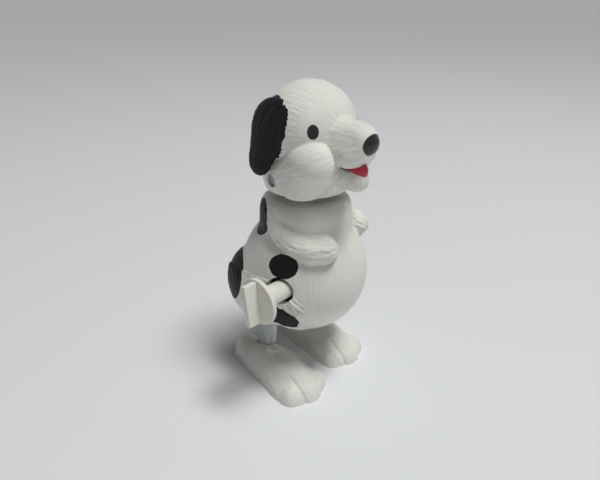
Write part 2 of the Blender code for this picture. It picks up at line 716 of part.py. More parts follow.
def body_floor(side):
    """A flat floor between the walls, just clear of the seam and of the bottom rim."""
    turns = np.linspace(-1.0, 1.0, 2 * ROUND + 1)
    rays = torso_rays(side)(np.column_stack((turns, np.full(len(turns), -1.0))))
    edge = cast(lambda points: torso(points) + WALL / 2, *rays) + (side * SEAM_LAP, 0.0, SEAM)
    bm = bmesh.new()
    face = bm.faces.new([bm.verts.new(point) for point in edge])
    raised = bmesh.ops.extrude_face_region(bm, geom=[face])["geom"]
    verts = [item for item in raised if isinstance(item, bmesh.types.BMVert)]
    bmesh.ops.translate(bm, vec=(0, 0, FLOOR_THICKNESS), verts=verts)
    return to_mesh(bm, "body_floor")


def build_body(root):
    for name, side in SIDES.items():
        shell = piece("body_shell_" + name, half_shell(torso_rays(side), torso, *BODY_GRID), root, WHITE)
        combine(shell, helper(shell.name + "_floor", body_floor(side), root), "UNION")
        for height, facing in ((FRONT_BOSS_HEIGHT, -1), (BACK_BOSS_HEIGHT, 1)):
            locating_boss(shell, root, (0, 0, 0), side, torso, edge_spot(torso, height, facing))
        for spot in STUDS:
            gearbox_socket(shell, root, side, spot)
        combine(shell, helper(shell.name + "_leg_slot", leg_slot(side), root), "DIFFERENCE")
        pin_hole = rod(-SKULL_WIDTH, SKULL_WIDTH, HEAD_PIN_RADIUS + CLEAR)
        combine(shell, helper(shell.name + "_pin_hole", pin_hole, root, (0, *HEAD_AXIS)), "DIFFERENCE")
        if side < 0:
            hole = rod(-2 * BELLY_WIDTH, -PLATE_OUT, KEY_HOLE_RADIUS)
            combine(shell, helper("key_hole", hole, root, (0, *KEY_AXIS)), "DIFFERENCE")


def head_hollow():
    """The room inside the head, open below for the neck."""
    bm = bmesh.new()
    bmesh.ops.create_icosphere(bm, subdivisions=3, radius=1.0)
    directions = unit(np.array([vert.co for vert in bm.verts]))
    origins = np.tile(HEAD_CORE, (len(directions), 1))
    for vert, point in zip(bm.verts, cast(lambda points: cranium(points) + WALL, origins, directions)):
        vert.co = point
    return to_mesh(bm, "head_hollow")


def face_masses(side):
    """What stands out of one half of the head: muzzle, nose, tongue, jaw, ear and eye."""
    lip = (side * LIP[0], *LIP[1:])
    ear = flap(on_skull(EAR_TOP), on_skull(EAR_TIP), EAR_TOP_RADIUS, EAR_TIP_RADIUS, EAR_THICKNESS)
    bmesh.ops.scale(ear, vec=(side, 1, 1), verts=ear.verts)
    eye_start = np.array([(side * EYE_APART / 2, 0.0, SKULL_HEIGHT + EYE_LIFT)])
    eye = cast(cranium, eye_start, np.array([(0.0, -1.0, 0.0)]))[0] + (0.0, EYE_SINK, 0.0)
    return {
        "muzzle": stretched(
            (on_skull(MUZZLE_ROOT), MUZZLE_ROOT_RADIUS), (on_skull(MUZZLE), MUZZLE_RADIUS),
            (on_skull(lip), LIP_RADIUS),
        ),
        "nose": rounded(on_skull(NOSE), (NOSE_WIDTH, NOSE_DEPTH, NOSE_RISE)),
        "tongue": rounded(on_skull(TONGUE), TONGUE_SIZE),
        "jaw": stretched((on_skull(JAW), JAW_RADIUS), (on_skull(CHIN), CHIN_RADIUS)),
        "ear": ear,
        "eye": rounded(eye, (EYE_WIDTH, EYE_WIDTH, EYE_RISE)),
    }


def build_head(root, axis):
    origin = (0, *HEAD_AXIS)
    place = (0, -HEAD_AXIS[0], -HEAD_AXIS[1])
    below = block((-SKULL_WIDTH, -SKULL_DEPTH, 0.0), (SKULL_WIDTH, SKULL_DEPTH, HEAD_RIM_HEIGHT))
    for name, side in SIDES.items():
        mesh = half_solid(skull_rays(side), cranium, *HEAD_GRID)
        shell = piece("head_shell_" + name, mesh, axis, WHITE, place)
        for part, mass in face_masses(side).items():
            combine(shell, helper(f"{shell.name}_{part}", halved(mass, side), axis, place), "UNION")
        combine(shell, helper(shell.name + "_hollow", head_hollow(), axis, place), "DIFFERENCE")
        combine(shell, helper(shell.name + "_rim", below.copy(), axis, place), "DIFFERENCE")
        spot = edge_spot(cranium, SKULL_HEIGHT + HEAD_BOSS_LIFT, 1)
        locating_boss(shell, axis, origin, side, cranium, spot)
        hole = rod(-SKULL_WIDTH, SKULL_WIDTH, HEAD_PIN_HOLE)
        combine(shell, helper(shell.name + "_pin_hole", hole, axis), "DIFFERENCE")
    half = wall_reach(cranium, HEAD_AXIS, HEAD_PIN_HOLE, -1) - HEAD_PIN_RECESS
    piece("head_pivot_pin", rod(-half, half, HEAD_PIN_RADIUS), root, STEEL, origin)


# Clockwork


def gear_outline(teeth, pointing):
    """Trapezoid teeth, with one tooth's middle at the angle pointing."""
    pitch = MODULE * teeth / 2
    outline = []
    for i in range(teeth):
        middle = pointing + 2 * math.pi * i / teeth
        for radius, share in ((pitch - TOOTH_DOWN, -TOOTH_ROOT), (pitch + TOOTH_UP, -TOOTH_TIP),
                              (pitch + TOOTH_UP, TOOTH_TIP), (pitch - TOOTH_DOWN, TOOTH_ROOT)):
            angle = middle + share * math.pi / teeth
            outline.append((radius * math.cos(angle), radius * math.sin(angle)))
    return outline


def towards(start, end):
    return math.atan2(end[1] - start[1], end[0] - start[0])


def gap_pointing(teeth, angle):
    """Turn that puts a gap between teeth, not a tooth, at an angle."""
    return angle + math.pi / teeth


def compound(name, axis, look, wheel, wheel_layer, pinion, pinion_layer):
    """A wheel and a pinion moulded as one with the sleeve between them, bored for a fixed pin."""
    gear = piece(name, prism([wheel], *wheel_layer), axis, look)
    combine(gear, helper(name + "_pinion", prism([pinion], *pinion_layer), axis), "UNION")
    inner = sorted((*wheel_layer, *pinion_layer))
    sleeve = rod(inner[0] + CLEAR, inner[3] - CLEAR, PIN_RADIUS + CLEAR + SLEEVE_WALL)
    combine(gear, helper(name + "_sleeve", sleeve, axis), "UNION")
    bore = rod(-PLATE_OUT, PLATE_OUT, PIN_RADIUS + CLEAR)
    combine(gear, helper(name + "_bore", bore, axis), "DIFFERENCE")
    return gear


def fixed_pin(name, root, axis):
    piece(name, rod(-PLATE_OUT, PLATE_OUT, PIN_RADIUS), root, STEEL, (0, *axis))


def build_winder(axis):
    """Key, arbor and great wheel, which turn together."""
    side = -wall_reach(torso, KEY_AXIS, KEY_HOLE_RADIUS, -1)
    disc = side - KEY_STAND_OFF
    face = disc - KEY_DISC_THICKNESS
    bore = ARBOR_RADIUS + CLEAR
    near = -PLATE_OUT - 2 * CLEAR
    key = piece("winding_key", turned([
        (disc, 0.0), (disc, bore), (near, bore), (near, KEY_SHAFT_RADIUS), (disc, KEY_SHAFT_RADIUS),
        (disc, KEY_DISC_RADIUS), (face, KEY_DISC_RADIUS), (face, 0.0),
    ], 2 * ROUND), axis, CREAM)
    blade = helper("key_blade", block(
        (face - KEY_BLADE_OUT, -KEY_BLADE_THICKNESS / 2, -KEY_BLADE_LENGTH / 2),
        (face + KEY_DISC_THICKNESS / 2, KEY_BLADE_THICKNESS / 2, KEY_BLADE_LENGTH / 2),
    ), axis)
    blade.rotation_euler = (-math.radians(KEY_BLADE_LEAN), 0.0, 0.0)
    combine(key, blade, "UNION")
    piece("winding_arbor", rod(disc + CLEAR, PLATE_OUT, ARBOR_RADIUS), axis, STEEL)
    teeth = gear_outline(GREAT_TEETH, towards(KEY_AXIS, IDLER_AXIS))
    piece("great_wheel", prism([teeth, circle(bore)], *GREAT_LAYER), axis, NYLON)


def build_mainspring(root):
    """A flat spiral round the arbor, whose outer end lies against a pillar."""
    inner = ARBOR_RADIUS + 2 * CLEAR + SPRING_STRIP / 2
    pillar = PILLARS[1]
    end = towards(KEY_AXIS, pillar)
    last = math.dist(KEY_AXIS, pillar) - PILLAR_RADIUS - CLEAR - SPRING_STRIP / 2
    per_turn = 18
    middle = []
    for i in range(SPRING_TURNS * per_turn + 1):
        angle = end - 2 * math.pi * (SPRING_TURNS - i / per_turn)
        radius = inner + (SPRING_RADIUS - inner) * i / (SPRING_TURNS * per_turn)
        flare = max(0.0, 1 - (SPRING_TURNS * per_turn - i) / (per_turn / 4))
        middle.append((angle, radius + (last - SPRING_RADIUS) * flare**2))
    sides = [[(r + edge) for _, r in middle] for edge in (SPRING_STRIP / 2, -SPRING_STRIP / 2)]
    outline = [(r * math.cos(a), r * math.sin(a)) for (a, _), r in zip(middle, sides[0])]
    outline += [(r * math.cos(a), r * math.sin(a)) for (a, _), r in zip(middle[::-1], sides[1][::-1])]
    gap = min(b[1] - a[1] for a, b in zip(middle, middle[per_turn:])) - SPRING_STRIP
    print(f"mainspring: least gap between turns {gap / MM:.2f} mm")
    piece("mainspring", prism([outline], *SPRING_LAYER), root, STEEL, (0, *KEY_AXIS))


def build_idler(root, axis):
    fixed_pin("idler_pin", root, IDLER_AXIS)
    pinion = gear_outline(PINION_TEETH, gap_pointing(PINION_TEETH, towards(IDLER_AXIS, KEY_AXIS)))
    wheel = gear_outline(IDLER_TEETH, towards(IDLER_AXIS, CRANK_AXIS))
    compound("idler_gear", axis, NYLON, wheel, IDLER_LAYER, pinion, GREAT_LAYER)


def build_escapement(root, escape, pallet):
    fixed_pin("escape_pin", root, ESCAPE_AXIS)
    fixed_pin("pallet_pin", root, PALLET_AXIS)
    step = 2 * math.pi / IDLER_TEETH
    lead = (towards(IDLER_AXIS, CRANK_AXIS) - towards(IDLER_AXIS, ESCAPE_AXIS)) % step
    meeting = towards(ESCAPE_AXIS, IDLER_AXIS) - lead * IDLER_TEETH / PINION_TEETH
    pinion = gear_outline(PINION_TEETH, gap_pointing(PINION_TEETH, meeting))
    star = []
    for i in range(STAR_TEETH):
        star += circle(STAR_RADIUS, count=STAR_TEETH)[i:i + 1]
        star += circle(STAR_ROOT_RADIUS, count=STAR_TEETH, start=math.pi / STAR_TEETH)[i:i + 1]
    compound("escape_wheel", escape, NYLON, star, STAR_LAYER, pinion, IDLER_LAYER)
    tips = [
        bearing(ESCAPE_AXIS, PALLET_BEARING + turn, STAR_RADIUS + PALLET_TIP_GAP)
        for turn in (-PALLET_SPREAD, PALLET_SPREAD)
    ]
    local = [(y - PALLET_AXIS[0], z - PALLET_AXIS[1]) for y, z in tips]
    outline = hull([spot for tip in local for spot in circle(PALLET_TIP_RADIUS, tip)]
                   + circle(PIN_RADIUS + CLEAR + SLEEVE_WALL))
    rocker = piece("pallet", prism([outline, circle(PIN_RADIUS + CLEAR)], *STAR_LAYER), pallet, NYLON)
    room = rod(-PLATE_IN, PLATE_IN, STAR_RADIUS + PALLET_TIP_GAP - PALLET_TIP_RADIUS, 2 * ROUND)
    middle = (0, ESCAPE_AXIS[0] - PALLET_AXIS[0], ESCAPE_AXIS[1] - PALLET_AXIS[1])
    combine(rocker, helper("pallet_room", room, pallet, middle), "DIFFERENCE")


def build_gearbox(root):
    """Two clear plates: the left one carries the pillars, and both carry studs and guide pins."""
    held = (IDLER_AXIS, ESCAPE_AXIS, PALLET_AXIS)
    turning = ((KEY_AXIS, ARBOR_RADIUS), (CRANK_AXIS, SHAFT_RADIUS))
    centres = (*held, KEY_AXIS, CRANK_AXIS, *PILLARS, *STUDS, GUIDE)
    rim = hull([spot for centre in centres for spot in circle(PLATE_MARGIN, centre)])
    holes = [circle(PIN_RADIUS + CLEAR, centre) for centre in held]
    holes += [circle(radius + CLEAR, centre) for centre, radius in turning]
    for name, side in SIDES.items():
        low, high = sorted((side * PLATE_IN, side * PLATE_OUT))
        screws = [circle(SCREW_RADIUS + CLEAR, spot) for spot in PILLARS] if side < 0 else []
        plate = piece("gearbox_" + name, prism([rim, *holes, *screws], low, high), root, CRYSTAL)
        for spot in STUDS:
            low, high = sorted((side * (PLATE_IN + CLEAR), side * (PLATE_OUT + STUD_LENGTH)))
            combine(plate, helper("stud", rod(low, high, STUD_RADIUS), root, (0, *spot)), "UNION")
        low, high = sorted((side * (PLATE_IN + CLEAR), side * (LEG_OUT + CLEAR)))
        combine(plate, helper("guide", rod(low, high, GUIDE_RADIUS), root, (0, *GUIDE)), "UNION")
        if side > 0:
            for spot in PILLARS:
                post = rod(CLEAR - PLATE_IN, PLATE_IN + CLEAR, PILLAR_RADIUS)
                combine(plate, helper("pillar", post, root, (0, *spot)), "UNION")
                hole = rod(-PLATE_IN, SCREW_LENGTH - PLATE_OUT + CLEAR, SCREW_RADIUS + CLEAR)
                combine(plate, helper("pillar_hole", hole, root, (0, *spot)), "DIFFERENCE")
    head = -PLATE_OUT - CLEAR
    for i, spot in enumerate(PILLARS, 1):
        piece(f"gearbox_screw_{i}", turned([
            (head - SCREW_HEAD_RISE, 0.0), (head - SCREW_HEAD_RISE, SCREW_HEAD_RADIUS),
            (head, SCREW_HEAD_RADIUS), (head, SCREW_RADIUS),
            (SCREW_LENGTH - PLATE_OUT, SCREW_RADIUS), (SCREW_LENGTH - PLATE_OUT, 0.0),
        ]), root, STEEL, (0, *spot))


# Cranks, legs and feet


def build_cranks(axis):
    """Shaft, pinion and two opposed cranks, which turn together."""
    end = CRANK_OUT - CRANK_WEB
    piece("crank_shaft", rod(CLEAR - end, end - CLEAR, SHAFT_RADIUS), axis, STEEL)
    bore = rod(-end, end, SHAFT_RADIUS + CLEAR)
    teeth = gear_outline(PINION_TEETH, gap_pointing(PINION_TEETH, towards(CRANK_AXIS, IDLER_AXIS)))
    piece("crank_pinion", prism([teeth, circle(SHAFT_RADIUS + CLEAR)], *IDLER_LAYER), axis, NYLON)
    for name, side in SIDES.items():
        low, high = sorted((side * CRANK_IN, side * CRANK_OUT))
        crank = piece("crank_" + name, rod(low, high, CRANK_RADIUS, 2 * ROUND), axis, NYLON)
        low, high = sorted((side * (CRANK_OUT - CRANK_WEB / 2), side * (LEG_OUT + CLEAR)))
        throw = (0, side * CRANK_THROW, 0)
        combine(crank, helper("crank_pin", rod(low, high, CRANK_PIN_RADIUS), axis, throw), "UNION")
        combine(crank, helper("crank_bore", bore.copy(), axis), "DIFFERENCE")


def build_leg(name, side, axis):
    """A clear leg on its crank pin, with its foot: both in the crank pin's frame."""
    window = CRANK_THROW + GUIDE_RADIUS + CLEAR
    eye = CRANK_PIN_RADIUS + CLEAR
    sole = -CRANK_AXIS[1]
    heel = sole + FOOT_HEIGHT - LEG_TAB_DEPTH
    front, back = LEG_BACK - LEG_WIDTH / 2, LEG_BACK + LEG_WIDTH / 2

    def plate(room):
        """The leg's outline, grown by some room all round."""
        rings = circle(eye + LEG_EYE_WALL + room)
        rings += circle(window + LEG_EYE_WALL + room, (0.0, GUIDE_RISE), 2 * ROUND)
        return hull([*rings, (front - room, heel - room), (back + room, heel - room)])

    low, high = sorted((side * LEG_IN, side * LEG_OUT))
    holes = [circle(eye), circle(window, (0.0, GUIDE_RISE), 2 * ROUND)]
    piece("leg_" + name, prism([plate(0.0), *holes], low, high), axis, CRYSTAL)

    bm = bmesh.new()
    skin(bm, foot_rays, paw_print, *FOOT_GRID)
    bmesh.ops.edgeloop_fill(bm, edges=[edge for edge in bm.edges if edge.is_boundary])
    mesh = to_mesh(bm, "foot")
    place = (side * FOOT_SPREAD, -FOOT_AHEAD, sole)
    foot = piece("foot_" + name, mesh, axis, WHITE, place)
    boss = rod(0.5 * FOOT_HEIGHT, FOOT_HEIGHT + FOOT_BOSS_RISE, FOOT_BOSS_RADIUS)
    out = side * ((LEG_IN + LEG_OUT) / 2 + FOOT_BOSS_OUT)
    upright = helper("foot_boss", boss, axis, (out, front - FOOT_BOSS_AHEAD, sole))
    upright.rotation_euler = (0.0, -math.pi / 2, 0.0)
    combine(foot, upright, "UNION")
    pocket = prism([plate(CLEAR)], low - CLEAR, high + CLEAR)
    combine(foot, helper("foot_pocket", pocket, axis), "DIFFERENCE")


def stand_on_origin(root):
    """Move the toy so that the middle of its box's bottom is the world origin."""
    bpy.context.view_layer.update()
    graph = bpy.context.evaluated_depsgraph_get()
    corners = []
    for obj in bpy.data.collections["windup_puppy"].objects:
        shape = obj.evaluated_get(graph)
        corners += [shape.matrix_world @ Vector(corner) for corner in shape.bound_box]
    low = Vector(min(corner[i] for corner in corners) for i in range(3))
    high = Vector(max(corner[i] for corner in corners) for i in range(3))
    root.location = (-(low.x + high.x) / 2, -(low.y + high.y) / 2, -low.z)
    bpy.context.view_layer.update()
    return high - low


def main():
    clear_scene()
    root = axis_empty("puppy", None, (0, 0, 0))
    winder = axis_empty("key_axis", root, (0, *KEY_AXIS))
    idler = axis_empty("idler_axis", root, (0, *IDLER_AXIS))
    escape = axis_empty("escape_axis", root, (0, *ESCAPE_AXIS))
    pallet = axis_empty("pallet_axis", root, (0, *PALLET_AXIS))
    crank = axis_empty("crank_axis", root, (0, *CRANK_AXIS))
    head = axis_empty("head_axis", root, (0, *HEAD_AXIS))
    build_body(root)
    build_head(root, head)
    build_gearbox(root)
    build_winder(winder)
    build_mainspring(root)
    build_idler(root, idler)
    build_escapement(root, escape, pallet)
    build_cranks(crank)
    axes = [winder, idler, escape, pallet, crank, head]
    for name, side in SIDES.items():
        axes.append(axis_empty("leg_axis_" + name, crank, (0, side * CRANK_THROW, 0)))
        build_leg(name, side, axes[-1])
    size = stand_on_origin(root)
    print("size in mm:", *(round(side / MM, 2) for side in size))
    for axis in axes:
        print(axis.name, *(round(value / MM, 3) for value in axis.matrix_world.translation))


if __name__ == "__main__":
    main()
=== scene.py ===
"""Wind-up walking puppy: fur skins, painted face, key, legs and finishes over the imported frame."""

import itertools
import json
import math

import bpy
import numpy as np
from bpy.props import FloatProperty, FloatVectorProperty, PointerProperty, StringProperty
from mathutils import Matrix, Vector


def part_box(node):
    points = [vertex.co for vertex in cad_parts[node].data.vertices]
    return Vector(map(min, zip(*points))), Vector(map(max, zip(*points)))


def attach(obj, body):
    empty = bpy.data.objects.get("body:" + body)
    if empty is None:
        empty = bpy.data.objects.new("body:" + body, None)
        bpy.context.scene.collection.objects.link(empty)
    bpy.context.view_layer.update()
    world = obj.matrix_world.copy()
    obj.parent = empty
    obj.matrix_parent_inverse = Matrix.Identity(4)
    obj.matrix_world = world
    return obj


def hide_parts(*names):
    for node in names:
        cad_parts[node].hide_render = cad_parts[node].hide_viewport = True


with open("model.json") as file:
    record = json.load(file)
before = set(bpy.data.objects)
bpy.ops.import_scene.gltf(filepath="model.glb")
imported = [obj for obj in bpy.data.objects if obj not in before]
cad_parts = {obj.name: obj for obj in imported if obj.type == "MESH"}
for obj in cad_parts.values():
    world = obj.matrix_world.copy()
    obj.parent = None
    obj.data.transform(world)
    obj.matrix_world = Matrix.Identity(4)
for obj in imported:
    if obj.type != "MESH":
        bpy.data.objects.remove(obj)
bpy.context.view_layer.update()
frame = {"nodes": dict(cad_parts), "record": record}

bl_info = {
    "name": "Wind-up Puppy",
    "version": (1, 0, 0),
    "blender": (4, 5, 0),
    "location": "View3D > Sidebar > Puppy",
    "description": "Dresses the clockwork puppy's frame in moulded fur, paint and clear plastic",
    "category": "Object",
}

JOINTS = {joint["name"]: Vector(joint["pos_m"]) for joint in frame["record"]["behaviour"]["joints"]}
SOLES = {mount["name"].split("_")[0]: Vector(mount["pos_m"]) for mount in frame["record"]["mounts"]}
SIDES = {"right": -1, "left": 1}


def mm(*values):
    """Millimetres as metres: one number or a tuple."""
    return values[0] / 1000 if len(values) == 1 else tuple(value / 1000 for value in values)


# The toy's own frame: the middle plane and the head's upright axis
ORIGIN = JOINTS["head_nod"] - Vector(mm(0, 3.2, 62.6))
SKULL = ORIGIN + Vector(mm(0, 0.9, 74.5))

FAR = mm(60)  # out of the toy's reach to every side, for the boxes that cut it
SEAM = mm(0.012)  # hairline between the two mouldings of a skin
HAIR_WIDTH = mm(0.42)  # one moulded hair
OUTSIDE = -9  # how far in, in millimetres, a point counts that a shape doesn't reach
TOE_LINE_SHARE = 0.76  # where a line between two toes lies, from the middle toe's centre to the outer one's
BOSS_BARE = mm(2.6, 2.6, 14)  # room without hair round the middle of a foot's boss

# Painted spots, in the toy's own frame: a place on the skin and how far the paint reaches from it.
# The four on the right side are the photo's; those on the left side are guessed.
SPOTS = (
    (mm(-12.4, 8.8, 51.4), mm(7, 5.6, 5.2)),
    (mm(-15, 16.6, 32.4), mm(8, 8, 7.8)),
    (mm(-15, -4.1, 41.9), mm(6, 4.0, 3.2)),
    (mm(-14, -2.5, 25.7), mm(6.5, 5.4, 4.8)),
    (mm(11.5, 9, 50.5), mm(7, 6.2, 5)),
    (mm(16, 9, 33), mm(6, 7, 6)),
    (mm(13.5, -6.5, 25), mm(6, 4.4, 3.8)),
)

# The stage: each light's kind, way and distance from the lit point, width or angle, and power
LIT_POINT = mm(0, 0, 45)
LIGHTS = {
    "lamp": ("AREA", (0.1, -0.34, 0.935), mm(700), mm(180), 1.9),
    "glint": ("AREA", (-0.385, -0.52, 0.748), mm(600), mm(16), 0.14),
    "sky": ("SUN", (0.1, -0.25, 0.96), mm(800), math.radians(25), 1.2),
}
WALL_SEEN = 0.55  # strength of the wall to the eye
WALL_LIGHT = 0.08  # strength of the wall as a light
CAMERA_AT = mm(-96.2, -91.9, 108)
CAMERA_TURN = (math.radians(64), 0, math.radians(-45))
CAMERA_LENS = 31.8  # millimetres, as Blender takes it
CAMERA_SENSOR = 36


def length(name, words, value):
    """A size that a user can change, given in millimetres."""
    return FloatProperty(name=name, description=words, default=mm(value), unit="LENGTH", precision=5)


def lengths(name, words, *values):
    """Three sizes or a place that a user can change, given in millimetres."""
    return FloatVectorProperty(name=name, description=words, default=mm(*values), unit="LENGTH", precision=5)


def colour(name, words, value):
    """A colour that a user can change."""
    return StringProperty(name=name, description=words + ", as an sRGB hex value", default=value)


class PuppyHead(bpy.types.PropertyGroup):
    """Sizes of the head; places are from the skull's middle, and the left one's where there are two."""

    skull: lengths("Skull", "Width, depth and height of the skull", 25.2, 24.6, 24.3)
    jowl: lengths("Jowl", "Width, depth and height of the jowl", 23.6, 24.4, 26)
    jowl_at: lengths("Jowl place", "Middle of the jowl", 0, 0.9, -10.5)
    cheek: lengths("Cheek", "Width, depth and height of a cheek", 12.6, 14.2, 12.6)
    cheek_at: lengths("Cheek place", "Middle of a cheek", 6.6, -7.1, -6.2)
    cheek_end: length("Cheek end", "Radius of a cheek where it runs out below", 5.5)
    cheek_end_at: lengths("Cheek end place", "Middle of a cheek's lower end", 6.6, -4.0, -12.2)
    cheek_back: length("Cheek back", "Radius of a cheek where it runs out behind", 3.7)
    cheek_back_at: lengths("Cheek back place", "Middle of a cheek's rear end", 7.9, 1.4, -9.4)
    muzzle_root: length("Muzzle root", "Radius of the muzzle at the face", 6.2)
    muzzle_root_at: lengths("Muzzle root place", "Middle of the muzzle's root", 0, -6.3, -1.2)
    muzzle: length("Muzzle", "Radius of the muzzle behind the nose", 4.2)
    muzzle_at: lengths("Muzzle place", "Middle of the muzzle's end", 0, -16.8, 0)
    lip: length("Lip", "Radius of an upper lip", 3.6)
    lip_at: lengths("Lip place", "Middle of an upper lip", 2.2, -15.4, -3.1)
    mouth: lengths("Mouth", "Width, depth and height of the gap between the lips", 8, 7, 2.2)
    mouth_at: lengths("Mouth place", "Middle of the gap between the lips", 0, -15.4, -6.6)
    jaw: length("Jaw", "Radius of the jaw at its root", 4.5)
    jaw_at: lengths("Jaw place", "Middle of the jaw's root", 0, -6.9, -8.5)
    chin: length("Chin", "Radius of the chin", 3.0)
    chin_at: lengths("Chin place", "Middle of the chin", 0, -16.4, -9.9)
    nose: lengths("Nose", "Width, depth and height of the nose", 5.9, 4.4, 5.6)
    nose_at: lengths("Nose place", "Middle of the nose", 0, -19.2, -0.3)
    tongue: lengths("Tongue", "Width, depth and height of the tongue", 3.9, 6, 4.6)
    tongue_at: lengths("Tongue place", "Middle of the tongue", 0, -16.2, -7.2)
    eye: lengths("Eye", "Width, depth and height of an eye", 2.9, 1.6, 3.6)
    eye_at: lengths("Eye place", "Middle of an eye", 7.65, -8.45, 1.9)
    bare: length("Bare ring", "How much wider and taller than an eye its hairless ring is", 4.2)
    bare_lift: length("Bare ring lift", "How far that ring sits above the eye", 1.6)
    ear_top: length("Ear top", "Radius of an ear's upper end", 6.5)
    ear_top_at: lengths("Ear top place", "Middle of an ear's upper end", 10.6, 3.0, 2.2)
    ear_tip: length("Ear tip", "Radius of an ear's lower end", 4.2)
    ear_tip_at: lengths("Ear tip place", "Middle of an ear's lower end", 12.7, 4.8, -6.6)
    ear_thickness: length("Ear thickness", "Thickness of an ear's flap", 3.6)
    wall: length("Wall", "Thickness of the head's wall", 1.3)
    rim_drop: length("Rim drop", "From the neck pin down to the head's open rim", 3.3)
    pin_hole: length("Pin hole", "Radius of the hole round the neck pin", 1.7)
    groove: length("Groove depth", "Depth of the moulded hair grooves", 0.06)


class PuppyBody(bpy.types.PropertyGroup):
    """Sizes of the body; places are in the toy's own frame, and the left one's where there are two."""

    belly: lengths("Belly", "Width, depth and height of the belly", 35, 36.4, 37.2)
    belly_at: lengths("Belly place", "Middle of the belly", 0, 2.4, 34.3)
    chest: length("Chest", "Width of the chest at its foot", 27)
    chest_rise: length("Chest height", "Height of the chest", 23)
    chest_at: lengths("Chest place", "Middle of the chest", 0, 2, 45.5)
    chest_top: length("Chest top", "Radius of the chest under the head", 12.4)
    chest_edge: length("Chest edge", "Rounding of the chest's edges", 3.6)
    neck: length("Neck", "Radius of the neck inside the head", 7)
    neck_top: lengths("Neck top", "Middle of the neck's top", 0, 2.2, 66)
    haunch: lengths("Haunch", "Width, length and height of a haunch", 18.0, 25.8, 24.4)
    haunch_at: lengths("Haunch place", "Middle of a haunch", 9.1, 9.2, 29.6)
    shoulder: length("Shoulder", "Radius of an arm's upper end", 3.2)
    shoulder_at: lengths("Shoulder place", "Upper end of an arm", 9.8, 3.2, 52.4)
    upper_arm: length("Upper arm", "Radius of the upper arm", 3.2)
    upper_arm_at: lengths("Upper arm place", "Middle of the upper arm", 11.2, -0.4, 49.3)
    elbow: length("Elbow", "Radius of the right arm's bend", 3.2)
    elbow_at: lengths("Elbow place", "Bend of the right arm, as if on the left", 11.1, -4.9, 47.2)
    left_elbow: length("Left elbow", "Radius of the left arm's bend", 3.4)
    left_elbow_at: lengths("Left elbow place", "Bend of the left arm", 12.2, -6.2, 46.3)
    wrist: length("Wrist", "Radius of a wrist", 3.4)
    wrist_at: lengths("Wrist place", "Middle of a wrist", 8.9, -8.8, 45.9)
    paw: length("Paw", "Radius of a paw", 3.7)
    paw_at: lengths("Paw place", "Middle of a paw", 6.2, -10.8, 46.2)
    thigh: length("Thigh", "Radius of the thigh's raised edge", 9.8)
    thigh_at: lengths("Thigh place", "Middle of the thigh's round front", 14, 0, 27.7)
    thigh_end: lengths("Thigh end", "Where the thigh runs out behind", 14, 14, 25.9)
    thigh_rise: length("Thigh rise", "How far the thigh stands over the belly", 0.4)
    stroke: length("Stroke", "Width of the thick strokes of hair below the key", 1.05)
    stroke_depth: length("Stroke depth", "How deep those strokes are", 0.22)
    strokes_at: lengths("Stroke place", "Middle of those strokes", 14.5, -6.2, 31)
    strokes_reach: lengths("Stroke reach", "How far those strokes reach from their middle", 6, 4.2, 3.6)
    wall: length("Wall", "Thickness of the body's wall", 1.4)
    bottom: length("Bottom", "Height of the body's flat bottom", 16.5)
    floor: length("Floor", "Thickness of the body's bottom", 1)
    key_hole: length("Key hole", "Radius of the hole round the key's shaft", 3.75)
    pin_hole: length("Pin hole", "Radius of the neck's bore round its pin", 1.55)
    slot_gap: length("Leg slot gap", "Room beside a leg in the body's bottom", 0.6)
    slot_front: length("Leg slot front", "From the crank's axis forward to the end of a leg's slot", 5.3)
    slot_back: length("Leg slot back", "From the crank's axis back to the end of a leg's slot", 7.7)
    groove: length("Groove depth", "Depth of the moulded hair grooves", 0.06)


class PuppyFoot(bpy.types.PropertyGroup):
    """Sizes of a foot and its leg; places are from the middle of its sole."""

    heel_to_toe: length("Length", "Length from heel to toe", 34.9)
    heel_width: length("Heel width", "Width of the heel", 9)
    heel_height: length("Heel height", "Height of the heel", 7.2)
    instep_width: length("Instep width", "Width of the instep", 13.8)
    instep: length("Instep", "Length of the instep's rise", 30)
    instep_ahead: length("Instep lead", "How far the instep lies ahead of the foot's middle", 1.5)
    height: length("Height", "Height of the instep", 8.8)
    toe_width: length("Toe width", "Width over the three toes", 16.5)
    toe: length("Toe", "Radius of the middle toe", 4.1)
    outer_toe: length("Outer toe", "Radius of an outer toe", 3.7)
    toe_height: length("Toe height", "Height of the toes", 4.6)
    toe_set_back: length("Toe set-back", "From the middle toe's centre to the outer ones'", 1.6)
    toe_root_back: length("Toe root", "From the middle toe to the mass behind the toes", 4.2)
    toe_root_length: length("Toe root length", "Length of the mass behind the toes", 16)
    toe_root_height: length("Toe root height", "Height of the mass behind the toes", 5.6)
    toe_line: length("Toe line", "Depth of the two lines between the toes", 0.55)
    toe_line_width: length("Toe line width", "Half the width of those lines", 0.5)
    boss: length("Boss", "Radius of the round boss beside the leg", 1.9)
    boss_rise: length("Boss rise", "How far the boss stands over the instep", 0.35)
    boss_edge: length("Boss edge", "Rounding of the boss's edge", 0.5)
    boss_out: length("Boss place", "From the leg's middle outwards to the boss's", 1.2)
    boss_ahead: length("Boss lead", "From the leg's front to the boss's middle", 2.2)
    leg_width: length("Leg width", "Width of the lower leg", 6)
    leg_back: length("Leg set-back", "How far the lower leg lies behind its crank pin", 2.45)
    leg_edge: length("Leg edge", "Rounding of the leg's edges", 0.12)
    pocket_gap: length("Pocket gap", "Room round the leg in the foot's pocket", 0.25)
    groove: length("Groove depth", "Depth of the moulded hair grooves", 0.03)


